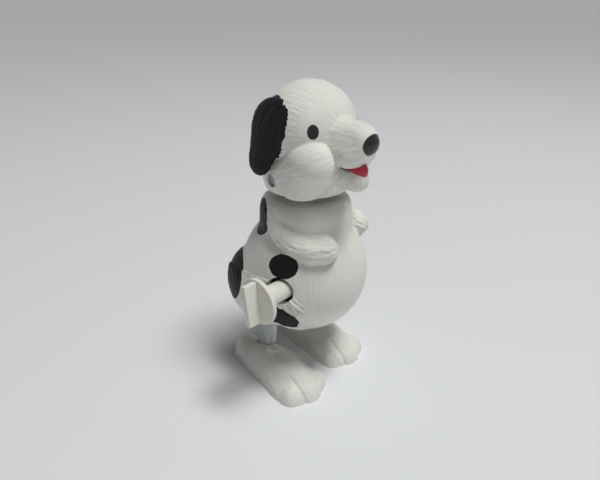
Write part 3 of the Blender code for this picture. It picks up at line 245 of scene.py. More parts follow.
class PuppyKey(bpy.types.PropertyGroup):
    """Sizes of the winding key."""

    shaft: length("Shaft", "Radius of the shaft", 2.7)
    disc: length("Disc", "Radius of the disc", 6.25)
    disc_thickness: length("Disc thickness", "Thickness of the disc", 1.2)
    disc_edge: length("Disc edge", "Rounding of the disc's edges", 0.25)
    face: length("Face", "From the room the key takes up to its disc", 4.2)
    blade: lengths("Blade", "Reach, thickness and length of the blade", 3.8, 1.5, 11.4)
    blade_edge: length("Blade edge", "Rounding of the blade's edges", 0.3)
    bore: length("Bore", "Radius of the shaft's bore", 1.65)
    lean: FloatProperty(name="Lean", description="How far the blade leans forward", default=math.radians(8),
                        subtype="ANGLE")


class PuppyColours(bpy.types.PropertyGroup):
    """Colours of the finishes."""

    white: colour("White", "Moulded fur", "#E9E8E0")
    groove: colour("Groove", "Bottoms of the hair grooves", "#CFCDC2")
    black: colour("Black", "Painted ears, spots, eyes and nose", "#100F12")
    # lighter black on the hair's tops: worn paint, and a painted sheen where the light catches the ridges
    worn: colour("Worn black", "Paint on the tops of the hair", "#18171B")
    red: colour("Red", "Painted tongue", "#BD1B33")
    cream: colour("Cream", "Winding key", "#ECEBE2")
    cream_shade: colour("Cream shade", "Flow marks in the key", "#E0DED2")
    clear: colour("Clear", "Legs and gearbox", "#F4F6F5")
    clear_shade: colour("Clear shade", "Scuffs on the clear plastic", "#DDE2E1")
    nylon: colour("Nylon", "Gears and cranks", "#D8D4C4")
    nylon_shade: colour("Nylon shade", "Uneven parts of the nylon", "#C2BDA9")
    steel: colour("Steel", "Pins, shafts and spring", "#A9A9AB")
    steel_shade: colour("Steel shade", "Lines along the drawn steel", "#7C7C7F")
    floor: colour("Floor", "Studio floor", "#EAECEE")
    wall: colour("Wall", "Studio wall", "#EDEFF2")


# Modelling helpers


def deselect():
    if bpy.context.mode != "OBJECT":
        bpy.ops.object.mode_set(mode="OBJECT")
    bpy.ops.object.select_all(action="DESELECT")


def choose(*objs):
    """Select these objects alone, the first one active."""
    deselect()
    for obj in objs:
        obj.select_set(True)
    bpy.context.view_layer.objects.active = objs[0]
    return objs[0]


def settle(obj):
    """Put the object's place, turn and size into its mesh."""
    choose(obj)
    bpy.ops.object.transform_apply(location=True, rotation=True, scale=True)
    return obj


def mirror_point(point, side):
    """A place on the left, taken over to a side."""
    return Vector((point[0] * side, point[1], point[2]))


def ball(centre, size, segments=64, rings=32, turn=(0, 0, 0)):
    """An ellipsoid of a width, depth and height."""
    deselect()
    bpy.ops.mesh.primitive_uv_sphere_add(
        segments=segments, ring_count=rings, radius=0.5, location=centre, rotation=turn, scale=size)
    return settle(bpy.context.object)


def globe(centre, radius, segments=64, rings=32):
    """A round ball of a radius."""
    return ball(centre, (2 * radius,) * 3, segments, rings)


def rod(start, end, radius, vertices=64):
    """A cylinder between two points."""
    start, end = Vector(start), Vector(end)
    run = end - start
    deselect()
    bpy.ops.mesh.primitive_cylinder_add(
        vertices=vertices, radius=radius, depth=run.length, location=(start + end) / 2,
        rotation=run.to_track_quat("Z", "Y").to_euler())
    return settle(bpy.context.object)


def slab(low, high):
    """A box between two corners."""
    low, high = Vector(low), Vector(high)
    deselect()
    bpy.ops.mesh.primitive_cube_add(size=1, location=(low + high) / 2, scale=high - low)
    return settle(bpy.context.object)


def joined(objs):
    choose(*objs)
    if len(objs) > 1:
        bpy.ops.object.join()
    return bpy.context.object


def wrapped(*objs):
    """A skin drawn tight over some bodies."""
    obj = joined(objs)
    bpy.ops.object.mode_set(mode="EDIT")
    bpy.ops.mesh.select_all(action="SELECT")
    bpy.ops.mesh.delete(type="EDGE_FACE")
    bpy.ops.mesh.select_all(action="SELECT")
    bpy.ops.mesh.convex_hull()
    bpy.ops.object.mode_set(mode="OBJECT")
    return obj


def limb(start, end, start_radius, end_radius):
    """A tapered limb with round ends."""
    return wrapped(globe(start, start_radius, 32, 16), globe(end, end_radius, 32, 16))


def modified(obj, kind, **settings):
    """Add a modifier, set it and apply it."""
    choose(obj)
    modifier = obj.modifiers.new(kind.title(), kind)
    for name, value in settings.items():
        setattr(modifier, name, value)
    bpy.ops.object.modifier_apply(modifier=modifier.name)
    return obj


def melted(objs, voxel, rounds):
    """Bodies run into one skin, whose creases are smoothed some rounds."""
    obj = modified(joined(objs), "REMESH", mode="VOXEL", voxel_size=voxel, use_smooth_shade=True)
    return modified(obj, "SMOOTH", factor=0.5, iterations=rounds)


def cut(obj, tool, operation="DIFFERENCE"):
    """Take a body from the object, or add it, and remove the body."""
    before = len(obj.data.vertices)
    modified(obj, "BOOLEAN", operation=operation, object=tool, solver="MANIFOLD")
    if len(obj.data.vertices) == before:
        raise RuntimeError("a cut left " + obj.name + " as it was")
    bpy.data.objects.remove(tool, do_unlink=True)
    return obj


def trimmed(obj, low, high):
    """Cut away what lies in a box between two corners."""
    return cut(obj, slab(low, high))


def cut_below(obj, height):
    """Cut away what lies below a height."""
    return trimmed(obj, (-FAR, -FAR, -FAR), (FAR, FAR, height))


def copied(obj):
    choose(obj)
    bpy.ops.object.duplicate()
    return bpy.context.object


def inside_of(core, wall, voxel):
    """The hollow that leaves a wall inside a skin."""
    hollow = modified(copied(core), "DISPLACE", strength=-wall, mid_level=0)
    return melted([hollow], voxel, rounds=2)


def smooth(obj, degrees=40):
    choose(obj)
    bpy.ops.object.shade_smooth_by_angle(angle=math.radians(degrees))
    return obj


def placed(obj, name, body, nodes, coat):
    """Name a finished piece, give it its finish and set it on the frame."""
    obj.name = name
    obj.data.name = name
    obj.data.materials.clear()
    obj.data.materials.append(coat)
    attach(obj, body)
    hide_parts(*nodes)
    return obj


# Hair that is moulded into the skins


def points_of(obj, what="co"):
    """The places of a mesh's points, or their normals."""
    flat = np.empty(len(obj.data.vertices) * 3)
    obj.data.vertices.foreach_get(what, flat)
    return flat.reshape(-1, 3)


def raise_points(obj, heights):
    """Move each point of a skin outwards by its own height."""
    points = points_of(obj) + points_of(obj, "normal") * heights[:, None]
    obj.data.vertices.foreach_set("co", points.ravel())
    obj.data.update()


def stored(obj, name, values):
    """Store one number at each point of the mesh."""
    attribute = obj.data.attributes.get(name) or obj.data.attributes.new(name, "FLOAT", "POINT")
    attribute.data.foreach_set("value", np.asarray(values, dtype=np.float32))


def unit(vectors):
    return vectors / np.maximum(np.linalg.norm(vectors, axis=1), 1e-12)[:, None]


def speckle(points, cell, seed):
    """Smooth random values from -1 to 1, on a lattice of cells."""
    places = points / cell
    low = np.floor(places)
    part = places - low
    part = part * part * (3 - 2 * part)
    low = low.astype(np.int64)
    total = np.zeros(len(points))
    for corner in itertools.product((0, 1), repeat=3):
        spots = low + np.array(corner)
        # large odd numbers scatter the cells' own numbers
        code = spots[:, 0] * 73856093 ^ spots[:, 1] * 19349663 ^ spots[:, 2] * 83492791 ^ seed * 668265263
        code = (code ^ (code >> 13)) * 1274126177 & 0x7FFFFFFF
        code = (code ^ (code >> 15)) * 461845907 & 0x7FFFFFFF
        weight = np.prod(np.where(np.array(corner) == 1, part, 1 - part), axis=1)
        total += weight * ((code >> 8 & 0xFFFF) / 32767.5 - 1)
    return total


def strands(points, lie, run, seed):
    """Hair from -1 to 1: random values drawn out along the lie of the hair."""
    total = np.zeros(len(points))
    for share in np.linspace(-0.5, 0.5, 15):
        total += speckle(points + lie * (run * share), HAIR_WIDTH, seed)
    return np.clip(total / (2.2 * total.std()), -1, 1)


def combed(obj, lie, depth, run, seed):
    """Mould hair into a skin: lie gives its direction, depth its grooves at each point."""
    points, normals = points_of(obj), points_of(obj, "normal")
    flow = lie(points)
    flow = unit(flow - normals * np.sum(flow * normals, axis=1)[:, None])
    hair = strands(points, flow, run, seed)
    reach = depth(points)
    raise_points(obj, hair * reach)
    stored(obj, "hair", hair * np.clip(reach / reach.max(), 0, 1))


def within(points, centre, radii):
    """How far points lie inside an ellipsoid, in millimetres: nearly enough close to its skin."""
    radii = np.array(radii)
    near = np.linalg.norm((points - np.array(centre)) / radii, axis=1)
    return (1 - near) * radii.min() / mm(1)


def within_oval(points, centre, facing, width, height):
    """How far points lie inside an oval drawn on a skin that faces some way, in millimetres."""
    facing = Vector(facing).normalized()
    across = facing.cross(Vector((0, 0, 1))).normalized()
    up = facing.cross(across)
    gaps = points - np.array(centre)
    near = np.hypot(gaps @ np.array(across) / (width / 2), gaps @ np.array(up) / (height / 2))
    front = gaps @ np.array(facing) > -mm(4)
    return np.where(front, (1 - near) * width / mm(2), OUTSIDE)


def within_limb(points, start, end, start_radius, end_radius):
    """How far points lie inside a tapered limb, in millimetres."""
    start = np.array(start)
    run = np.array(end) - start
    along = np.clip((points - start) @ run / (run @ run), 0, 1)
    gap = np.linalg.norm(points - start - along[:, None] * run, axis=1)
    return (start_radius + along * (end_radius - start_radius) - gap) / mm(1)


def fade(values, low, high):
    """0 below low, 1 above high, smooth between."""
    share = np.clip((values - low) / (high - low), 0, 1)
    return share * share * (3 - 2 * share)


def folded(points):
    """Points brought over to the left side of the middle plane, which is at 0."""
    return np.column_stack((np.abs(points[:, 0] - ORIGIN.x), points[:, 1], points[:, 2]))


# Finishes

RGBA, FLOAT = {"data_type": "RGBA"}, {"data_type": "FLOAT"}


def linear(value):
    """An sRGB hex value as linear RGBA."""
    parts = [int(value[i:i + 2], 16) / 255 for i in (1, 3, 5)]
    return (*[p / 12.92 if p <= 0.04045 else ((p + 0.055) / 1.055) ** 2.4 for p in parts], 1.0)


def cells(width):
    """The scale of a pattern whose cells are some millimetres wide."""
    return 1 / mm(width)


def node(material, kind, output, settings=None, **links):
    """Add a node and return one of its outputs; links are its inputs, as values or other outputs."""
    made = material.node_tree.nodes.new(kind)
    for name, value in (settings or {}).items():
        setattr(made, name, value)
    for name, value in links.items():
        numbered = name[0] == "i" and name[1:].isdigit()
        socket = made.inputs[int(name[1:]) if numbered else name.replace("_", " ")]
        if isinstance(value, bpy.types.NodeSocket):
            material.node_tree.links.new(value, socket)
        else:
            socket.default_value = value
    return made.outputs[output]


def finish(name, **values):
    """A new material with values on its shader, and that shader."""
    material = bpy.data.materials.new(name)
    material.use_nodes = True
    shader = material.node_tree.nodes["Principled BSDF"]
    for socket, value in values.items():
        shader.inputs[socket.replace("_", " ")].default_value = value
    return material, shader


def wired(material, shader, **outputs):
    """Lead nodes' outputs into a shader's sockets."""
    for socket, output in outputs.items():
        material.node_tree.links.new(output, shader.inputs[socket.replace("_", " ")])
    return material


def mottled(material, shader, pattern, tints, roughness, spread=(0.3, 0.7)):
    """Let colour and roughness go from one value to another with a pattern."""
    light, dark = (linear(tint) for tint in tints)
    base = node(material, "ShaderNodeMix", 2, RGBA, i0=pattern, i6=light, i7=dark)
    rough = node(material, "ShaderNodeMapRange", 0, i0=pattern, i1=spread[0], i2=spread[1],
                 i3=roughness[0], i4=roughness[1])
    return wired(material, shader, Base_Color=base, Roughness=rough)


def enamelled(material, shader, hair, base, rough):
    """Black and red enamel where the masks say so: the colour and roughness with it."""
    tint = bpy.context.scene.puppy_colours
    # brushed black: its edge follows the hair; on the hair's tops it is lighter, as worn paint and as a
    # painted sheen
    black = node(material, "ShaderNodeAttribute", "Fac", {"attribute_name": "black"})
    ragged = node(material, "ShaderNodeMath", 0, {"operation": "MULTIPLY_ADD"}, i0=hair, i1=0.55, i2=black)
    mask = node(material, "ShaderNodeMapRange", 0, i0=ragged, i1=0.04, i2=0.16, i3=0.0, i4=1.0)
    worn = node(material, "ShaderNodeMapRange", 0, i0=hair, i1=0.2, i2=1.0, i3=0.0, i4=0.9)
    enamel = node(material, "ShaderNodeMix", 2, RGBA, i0=worn, i6=linear(tint.black), i7=linear(tint.worn))
    base = node(material, "ShaderNodeMix", 2, RGBA, i0=mask, i6=base, i7=enamel)
    rough = node(material, "ShaderNodeMix", 0, FLOAT, i0=mask, i2=rough, i3=0.5)
    dull = node(material, "ShaderNodeMapRange", 0, i0=mask, i1=0.0, i2=1.0, i3=0.5, i4=0.2)
    coat = node(material, "ShaderNodeMapRange", 0, i0=mask, i1=0.0, i2=1.0, i3=0.15, i4=0.03)
    wired(material, shader, Specular_IOR_Level=dull, Coat_Weight=coat)
    # glossy black on the eyes and nose, red on the tongue
    for name, value, gloss in (("gloss", tint.black, 0.13), ("tongue", tint.red, 0.3)):
        inside = node(material, "ShaderNodeAttribute", "Fac", {"attribute_name": name})
        mask = node(material, "ShaderNodeMapRange", 0, i0=inside, i1=0.02, i2=0.08, i3=0.0, i4=1.0)
        base = node(material, "ShaderNodeMix", 2, RGBA, i0=mask, i6=base, i7=linear(value))
        rough = node(material, "ShaderNodeMix", 0, FLOAT, i0=mask, i2=rough, i3=gloss)
    return base, rough


def moulded_abs(name, painted):
    """White injection-moulded ABS: satin, darker in the bottoms of its hair grooves; painted where masks say
    so.
    """
    tint = bpy.context.scene.puppy_colours
    material, shader = finish(name, IOR=1.53, Roughness=0.34, Coat_Weight=0.15, Coat_Roughness=0.07)
    place = node(material, "ShaderNodeTexCoord", "Object")
    hair = node(material, "ShaderNodeAttribute", "Fac", {"attribute_name": "hair"})
    # cloudy handling marks, and a colour that darkens deep in the hair grooves
    cloud = node(material, "ShaderNodeTexNoise", "Fac", Vector=place, Scale=cells(4), Detail=3.0)
    deep = node(material, "ShaderNodeMapRange", 0, i0=hair, i1=0.1, i2=-0.9, i3=0.0, i4=0.4)
    darkening = node(material, "ShaderNodeMath", 0, {"operation": "MULTIPLY_ADD"}, i0=cloud, i1=0.12, i2=deep)
    darkening = node(material, "ShaderNodeMath", 0, {"operation": "SUBTRACT", "use_clamp": True}, i0=darkening, i1=0.06)
    base = node(material, "ShaderNodeMix", 2, RGBA, i0=darkening, i6=linear(tint.white), i7=linear(tint.groove))
    rough = node(material, "ShaderNodeMapRange", 0, i0=cloud, i1=0.3, i2=0.7, i3=0.27, i4=0.4)
    if painted:
        base, rough = enamelled(material, shader, hair, base, rough)
    # the mould's fine spark-eroded grain
    grain = node(material, "ShaderNodeTexNoise", "Fac", Vector=place, Scale=cells(0.25), Detail=2.0)
    bump = node(material, "ShaderNodeBump", "Normal", Strength=0.12, Distance=mm(0.04), Height=grain)
    return wired(material, shader, Base_Color=base, Roughness=rough, Normal=bump)


def moulded_polypropylene():
    """Cream polypropylene: waxy and slightly see-through, with faint flow marks."""
    tint = bpy.context.scene.puppy_colours
    material, shader = finish("moulded_polypropylene", IOR=1.49, Roughness=0.33, Subsurface_Weight=0.15,
                              Subsurface_Scale=mm(1))
    place = node(material, "ShaderNodeTexCoord", "Object")
    cloud = node(material, "ShaderNodeTexNoise", "Fac", Vector=place, Scale=cells(2.5), Detail=3.0)
    mottled(material, shader, cloud, (tint.cream, tint.cream_shade), (0.26, 0.42))
    grain = node(material, "ShaderNodeTexNoise", "Fac", Vector=place, Scale=cells(1 / 3), Detail=2.0)
    bump = node(material, "ShaderNodeBump", "Normal", Strength=0.1, Distance=mm(0.04), Height=grain)
    return wired(material, shader, Normal=bump)


def clear_polystyrene():
    """Clear polystyrene: glassy, greyish, with fine scuffs."""
    tint = bpy.context.scene.puppy_colours
    material, shader = finish("clear_polystyrene", IOR=1.59, Roughness=0.1, Transmission_Weight=0.7)
    place = node(material, "ShaderNodeTexCoord", "Object")
    cloud = node(material, "ShaderNodeTexNoise", "Fac", Vector=place, Scale=cells(5 / 3), Detail=4.0)
    return mottled(material, shader, cloud, (tint.clear, tint.clear_shade), (0.06, 0.26), (0.35, 0.7))


def moulded_nylon():
    """Natural nylon: milky, dull and a little uneven."""
    tint = bpy.context.scene.puppy_colours
    material, shader = finish("moulded_nylon", IOR=1.53, Roughness=0.45)
    place = node(material, "ShaderNodeTexCoord", "Object")
    cloud = node(material, "ShaderNodeTexNoise", "Fac", Vector=place, Scale=cells(2), Detail=3.0)
    return mottled(material, shader, cloud, (tint.nylon, tint.nylon_shade), (0.38, 0.52))


def drawn_steel():
    """Drawn steel wire and strip: bright grey, with fine lines along the drawing."""
    tint = bpy.context.scene.puppy_colours
    material, shader = finish("drawn_steel", Metallic=1.0, Roughness=0.34)
    place = node(material, "ShaderNodeTexCoord", "Object")
    drawn = node(material, "ShaderNodeMapping", "Vector", Vector=place, Scale=(0.08, 1.0, 1.0))
    line = node(material, "ShaderNodeTexNoise", "Fac", Vector=drawn, Scale=cells(1 / 6), Detail=2.0)
    return mottled(material, shader, line, (tint.steel, tint.steel_shade), (0.26, 0.46))


def shared(maker, *args):
    """A finish, made when it is first asked for, and named for its maker or its first argument."""
    name = args[0] if args else maker.__name__
    return bpy.data.materials.get(name) or maker(*args)


# Pieces


def in_halves(obj, body, masks):
    """Split a skin at the middle plane into the two mouldings, with a hairline seam, and paint them."""
    left = copied(obj)
    for name, half in (("right", obj), ("left", left)):
        side = SIDES[name]
        other = sorted((ORIGIN.x + side * SEAM / 2, ORIGIN.x - side * FAR))
        trimmed(half, (other[0], -FAR, -FAR), (other[1], FAR, 2 * FAR))
        smooth(half)
        for mask, paint in masks.items():
            stored(half, mask, paint(points_of(half)))
        placed(half, f"{body}_{name}", body, [f"{body}_shell_{name}"],
               shared(moulded_abs, "painted_abs", True))


class PUPPY_OT_head(bpy.types.Operator):
    """Model the two halves of the head, with their hair and painted face"""

    bl_idname = "puppy.head"
    bl_label = "Make the head"

    def execute(self, context):
        size = context.scene.puppy_head
        at = {name: SKULL + Vector(getattr(size, name + "_at"))
              for name in ("jowl", "muzzle_root", "muzzle", "mouth", "jaw", "chin", "nose", "tongue")}
        pairs = {name: [SKULL + mirror_point(getattr(size, name + "_at"), side) for side in SIDES.values()]
                 for name in ("cheek", "cheek_end", "cheek_back", "lip", "eye", "ear_top", "ear_tip")}
        facing = [place - SKULL for place in pairs["eye"]]
        head, hollow = self.moulded(size, at, pairs, facing)
        nose = np.array(at["nose"])

        def on_ears(points):
            """How far points lie inside an ear's outline, on the outer side of its flap."""
            p = folded(points)
            top, tip = (pairs[name][1] - Vector((ORIGIN.x, 0, 0)) for name in ("ear_top", "ear_tip"))
            flap = np.interp(p[:, 2], (tip.z, top.z), (tip.x, top.x))
            shape = (0, *top.yz), (0, *tip.yz), size.ear_top, size.ear_tip
            inside = within_limb(p * (0, 1, 1), *shape)
            outer = p[:, 0] > flap - size.ear_thickness * np.interp(p[:, 2], (tip.z, top.z), (0.2, 0.9))
            p[:, 0] = (p[:, 0] - flap) * 2 * size.ear_top / size.ear_thickness
            return np.maximum(np.where(outer, inside, OUTSIDE), within_limb(p, *shape) + 0.5)

        def on_eyes(points, grow=0.0, lift=0.0):
            """How far points lie inside an eye, or a wider ring a little above it."""
            up = Vector((0, 0, lift))
            return np.max([within_oval(points, place + up, way, size.eye[0] + grow, size.eye[2] + grow)
                           for place, way in zip(pairs["eye"], facing)], axis=0)

        # paint reaches a little past the half size of the tongue and the nose
        def on_tongue(points):
            return within(points, at["tongue"], Vector(size.tongue) * 0.54)

        def on_eyes_and_nose(points):
            return np.maximum(on_eyes(points), within(points, nose, Vector(size.nose) * 0.53))

        def lie(points):
            away = unit(points - nose)
            share = fade(on_ears(points), -0.5, 0.5)[:, None]
            return away * (1 - share) + np.array((0, 0.35, -1.0)) * share

        def depth(points):
            bare = np.maximum(on_eyes(points, size.bare, size.bare_lift), on_eyes_and_nose(points) + 0.5)
            bare = fade(np.maximum(bare, on_tongue(points) + 0.3), -0.5, 0.3)
            return size.groove * (1 - bare) * (1 + 0.5 * fade(on_ears(points), -0.3, 0.6))

        combed(head, lie, depth, run=mm(2.6), seed=7)
        pin = JOINTS["head_nod"]
        side_on = Vector(mm(30, 0, 0))
        cut_below(head, pin.z - size.rim_drop)
        cut(head, hollow)
        cut(head, rod(pin - side_on, pin + side_on, size.pin_hole))
        in_halves(head, "head", {"gloss": on_eyes_and_nose, "tongue": on_tongue,
                                 "black": lambda points: on_ears(points) + 0.3})
        return {"FINISHED"}

    def moulded(self, size, at, pairs, facing):
        """The head's skin before its hair, and the hollow inside."""
        core = melted([ball(SKULL, size.skull), ball(at["jowl"], size.jowl)], voxel=mm(0.5), rounds=8)
        hollow = inside_of(core, size.wall, voxel=mm(0.9))
        snout = [globe(at["muzzle_root"], size.muzzle_root), globe(at["muzzle"], size.muzzle)]
        snout += [globe(place, size.lip) for place in pairs["lip"]]
        jaw = limb(at["jaw"], at["chin"], size.jaw, size.chin)
        head = melted([core, wrapped(*snout), jaw], voxel=mm(0.4), rounds=4)
        cut(head, ball(at["mouth"], size.mouth))
        parts = [head, ball(at["nose"], size.nose), ball(at["tongue"], size.tongue)]
        parts += [wrapped(ball(place, size.cheek), globe(end, size.cheek_end), globe(back, size.cheek_back))
                  for place, end, back in zip(pairs["cheek"], pairs["cheek_end"], pairs["cheek_back"])]
        parts += [ball(place, size.eye, turn=(0, 0, math.atan2(way.x, -way.y)))
                  for place, way in zip(pairs["eye"], facing)]
        parts += [self.ear(size, top, tip) for top, tip in zip(pairs["ear_top"], pairs["ear_tip"])]
        return melted(parts, voxel=mm(0.2), rounds=2), hollow

    def ear(self, size, top, tip):
        """A flap that leans outwards from its upper to its lower end."""
        run = tip - top
        flap = limb((0, 0, 0), (0, run.y, run.z), size.ear_top, size.ear_tip)
        flap.scale.x = size.ear_thickness / (2 * size.ear_top)
        settle(flap)
        flap.location = top
        flap.rotation_euler.y = -math.atan2(run.x, -run.z)
        return settle(flap)


class PUPPY_OT_body(bpy.types.Operator):
    """Model the two halves of the body, with their hair and painted spots"""

    bl_idname = "puppy.body"
    bl_label = "Make the body"

    def execute(self, context):
        size = context.scene.puppy_body
        arms = self.arms(size)
        body, hollow = self.moulded(size, arms)

        def on_arms(points):
            """How far points lie in each length of the arms, and its way."""
            for run in arms:
                yield within_limb(points, *run), np.array((run[1] - run[0]).normalized())

        def on_thigh(points):
            """How far points lie inside a thigh's outline, seen from the side."""
            p = folded(points)
            start, end = ((0, *(ORIGIN + Vector(place)).yz) for place in (size.thigh_at, size.thigh_end))
            inside = within_limb(p * (0, 1, 1), start, end, size.thigh, size.thigh)
            return np.where(p[:, 0] > mm(5), inside, OUTSIDE)

        def lie(points):
            flow = np.tile((0.0, 0.0, -1.0), (len(points), 1))
            flow[:, 1] -= 0.7 * fade(on_thigh(points), -0.4, 0.6)
            for inside, way in on_arms(points):
                share = fade(inside, -1.2, 0.0)[:, None]
                flow = flow * (1 - share) + way * share
            return flow

        def depth(points):
            on_arm = fade(np.max([inside for inside, _ in on_arms(points)], axis=0), -1.2, -0.2)
            edge = on_thigh(points)
            fan = fade(edge, -0.2, 0.3) * (1 - fade(edge, 2.0, 3.6))
            return size.groove * (1 + 2.2 * on_arm + 2.2 * fan * (1 - on_arm))

        def strokes(points):
            """Ridges that run down and forward from the key hole to the thigh's front."""
            p = folded(points)
            middle = Vector(size.strokes_at) + Vector((0, *ORIGIN.yz))
            inside = fade(within(p, middle, Vector(size.strokes_reach)), 0, 0.9)
            return inside * np.cos((p[:, 1] * 0.8 - p[:, 2] * 0.6) * math.tau / size.stroke)

        def spots(points):
            """How far points lie inside a painted spot, doubled for a crisper edge."""
            inside = [within(points, ORIGIN + Vector(place), reach) for place, reach in SPOTS]
            return 2 * np.max(inside, axis=0)

        points = points_of(body)
        thigh = size.thigh_rise * fade(on_thigh(points), -0.3, 0.7)
        raise_points(body, thigh + size.stroke_depth * strokes(points))
        combed(body, lie, depth, run=mm(5), seed=23)
        self.cut_openings(size, body, hollow)
        in_halves(body, "body", {"black": spots})
        return {"FINISHED"}

    def arms(self, size):
        """The arms' lengths, each with its two ends and their radii."""
        runs = []
        # the right forearm lies on the chest; the left arm ends at its bend
        for side, names in (("right", ("shoulder", "upper_arm", "elbow", "wrist", "paw")),
                            ("left", ("shoulder", "upper_arm", "left_elbow"))):
            arm = [(ORIGIN + mirror_point(getattr(size, name + "_at"), SIDES[side]), getattr(size, name))
                   for name in names]
            runs += [(start, end, first, last) for (start, first), (end, last) in itertools.pairwise(arm)]
        return runs

    def moulded(self, size, arms):
        """The body's skin before its hair, and the hollow inside."""
        belly, chest_at, neck_top = (
            ORIGIN + Vector(place) for place in (size.belly_at, size.chest_at, size.neck_top))
        deselect()
        bpy.ops.mesh.primitive_cone_add(vertices=96, radius1=size.chest / 2, radius2=size.chest_top,
                                        depth=size.chest_rise, location=chest_at)
        chest = settle(bpy.context.object)
        modified(chest, "BEVEL", width=size.chest_edge, segments=6, limit_method="ANGLE")
        haunches = [ORIGIN + mirror_point(size.haunch_at, side) for side in SIDES.values()]
        masses = [ball(belly, size.belly), chest, *[ball(place, size.haunch) for place in haunches]]
        core = melted(masses, voxel=mm(0.6), rounds=12)
        hollow = inside_of(core, size.wall, voxel=mm(1.2))
        cut_below(hollow, size.bottom + size.floor)
        neck = rod((neck_top.x, neck_top.y, chest_at.z), neck_top, size.neck)
        body = melted([core, neck, *[limb(*run) for run in arms]], voxel=mm(0.4), rounds=3)
        return melted([body], voxel=mm(0.2), rounds=2), hollow

    def cut_openings(self, size, body, hollow):
        """Cut the hollow, the flat bottom, and the openings for the key, the neck pin and the legs."""
        cut_below(body, size.bottom)
        cut(body, hollow)
        key, crank, pin = (JOINTS[name] for name in ("winder_spin", "crank_spin", "head_nod"))
        cut(body, rod(key - Vector(mm(40, 0, 0)), key - Vector(mm(8, 0, 0)), size.key_hole))
        side_on = Vector(mm(12, 0, 0))
        cut(body, rod(pin - side_on, pin + side_on, size.pin_hole))
        for name in SIDES:
            low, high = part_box("leg_" + name)
            trimmed(body, (low[0] - size.slot_gap, crank.y - size.slot_front, size.bottom - mm(2)),
                    (high[0] + size.slot_gap, crank.y + size.slot_back, crank.z))


class PUPPY_OT_feet(bpy.types.Operator):
    """Model the two feet, with three toes, hair and the leg's pocket"""

    bl_idname = "puppy.feet"
    bl_label = "Make the feet"

    def execute(self, context):
        for name, side in SIDES.items():
            self.foot(context.scene.puppy_foot, name, side)
        return {"FINISHED"}

    def foot(self, size, name, side):
        sole = SOLES[name]
        apart = size.toe_width / 2 - size.outer_toe
        low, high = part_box("leg_" + name)
        front = JOINTS[name + "_foot_swing"].y + size.leg_back - size.leg_width / 2
        middle = (low[0] + high[0]) / 2
        knob = Vector((middle + side * size.boss_out, front - size.boss_ahead, size.height / 2))
        foot = self.moulded(size, sole, apart, knob)
        heel = np.array(sole + Vector((0, size.heel_to_toe / 2, 0)))

        def lie(points):
            return unit(points - heel) * (1, 1, 0.3) + (0, 0, -0.15)

        def depth(points):
            by_boss = fade(within(points, knob, BOSS_BARE), -0.3, 0.3)
            return size.groove * fade(points[:, 2], mm(0.2), mm(1.2)) * (1 - by_boss)

        points = points_of(foot)
        across = np.abs(points[:, 0] - sole.x)
        ahead = (sole.y - points[:, 1]) / size.heel_to_toe
        line = np.exp(-((across - apart * TOE_LINE_SHARE) / size.toe_line_width) ** 2) * fade(ahead, 0.22, 0.4)
        raise_points(foot, -size.toe_line * line)
        combed(foot, lie, depth, run=mm(3), seed=41)
        cut_below(foot, 0)
        gap = size.pocket_gap
        trimmed(foot, (low[0] - gap, front - gap, low[2] - gap),
                (high[0] + gap, front + size.leg_width + gap, size.height + mm(5)))
        smooth(foot)
        placed(foot, "foot_" + name + "_fur", name + "_step", ["foot_" + name],
               shared(moulded_abs, "moulded_abs", False))

    def moulded(self, size, sole, apart, knob):
        """A foot's skin before its hair: a wedge under the instep, the toes and the boss."""
        toe = size.toe - size.heel_to_toe / 2
        wedge = wrapped(
            ball(sole + Vector((0, size.heel_to_toe / 2 - size.heel_width / 2, 0)),
                 (size.heel_width, size.heel_width, 2 * size.heel_height)),
            ball(sole + Vector((0, toe + size.toe_root_back, 0)),
                 (size.toe_width, size.toe_root_length, 2 * size.toe_root_height)))
        instep = ball(sole - Vector((0, size.instep_ahead, 0)),
                      (size.instep_width, size.instep, 2 * size.height))
        foot = melted([wedge, instep], voxel=mm(0.4), rounds=12)
        outer = toe + size.toe_set_back
        toes = [ball(sole + Vector((x, y, 0)), (2 * radius, 2 * radius, 2 * size.toe_height))
                for x, y, radius in ((0, toe, size.toe), (apart, outer, size.outer_toe),
                                     (-apart, outer, size.outer_toe))]
        foot = melted([foot, *toes], voxel=mm(0.35), rounds=5)
        boss = rod(knob, (knob.x, knob.y, size.height + size.boss_rise), size.boss)
        modified(boss, "BEVEL", width=size.boss_edge, segments=4, limit_method="ANGLE")
        return melted([foot, boss], voxel=mm(0.2), rounds=2)


class PUPPY_OT_key(bpy.types.Operator):
    """Model the winding key: shaft, disc and leaning blade"""

    bl_idname = "puppy.key"
    bl_label = "Make the key"

    def execute(self, context):
        size = context.scene.puppy_key
        axis = JOINTS["winder_spin"]
        low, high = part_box("winding_key")
        face = low[0] + size.face
        inside, back = face + size.disc_thickness / 2, face + size.disc_thickness

        def along(x):
            return (x, axis.y, axis.z)

        key = rod(along(face), along(back), size.disc, 96)
        modified(key, "BEVEL", width=size.disc_edge, segments=4, limit_method="ANGLE")
        cut(key, rod(along(inside), along(high[0]), size.shaft), "UNION")
        reach, thickness, height = size.blade
        blade = slab((face - reach, axis.y - thickness / 2, axis.z - height / 2),
                     (inside, axis.y + thickness / 2, axis.z + height / 2))
        modified(blade, "BEVEL", width=size.blade_edge, segments=4)
        choose(blade)
        bpy.ops.transform.rotate(value=size.lean, orient_axis="X", center_override=axis)
        settle(blade)
        cut(key, blade, "UNION")
        cut(key, rod(along(back), along(high[0] + mm(1)), size.bore))
        smooth(key, 35)
        placed(key, "key", "winder", ["winding_key"], shared(moulded_polypropylene))
        return {"FINISHED"}


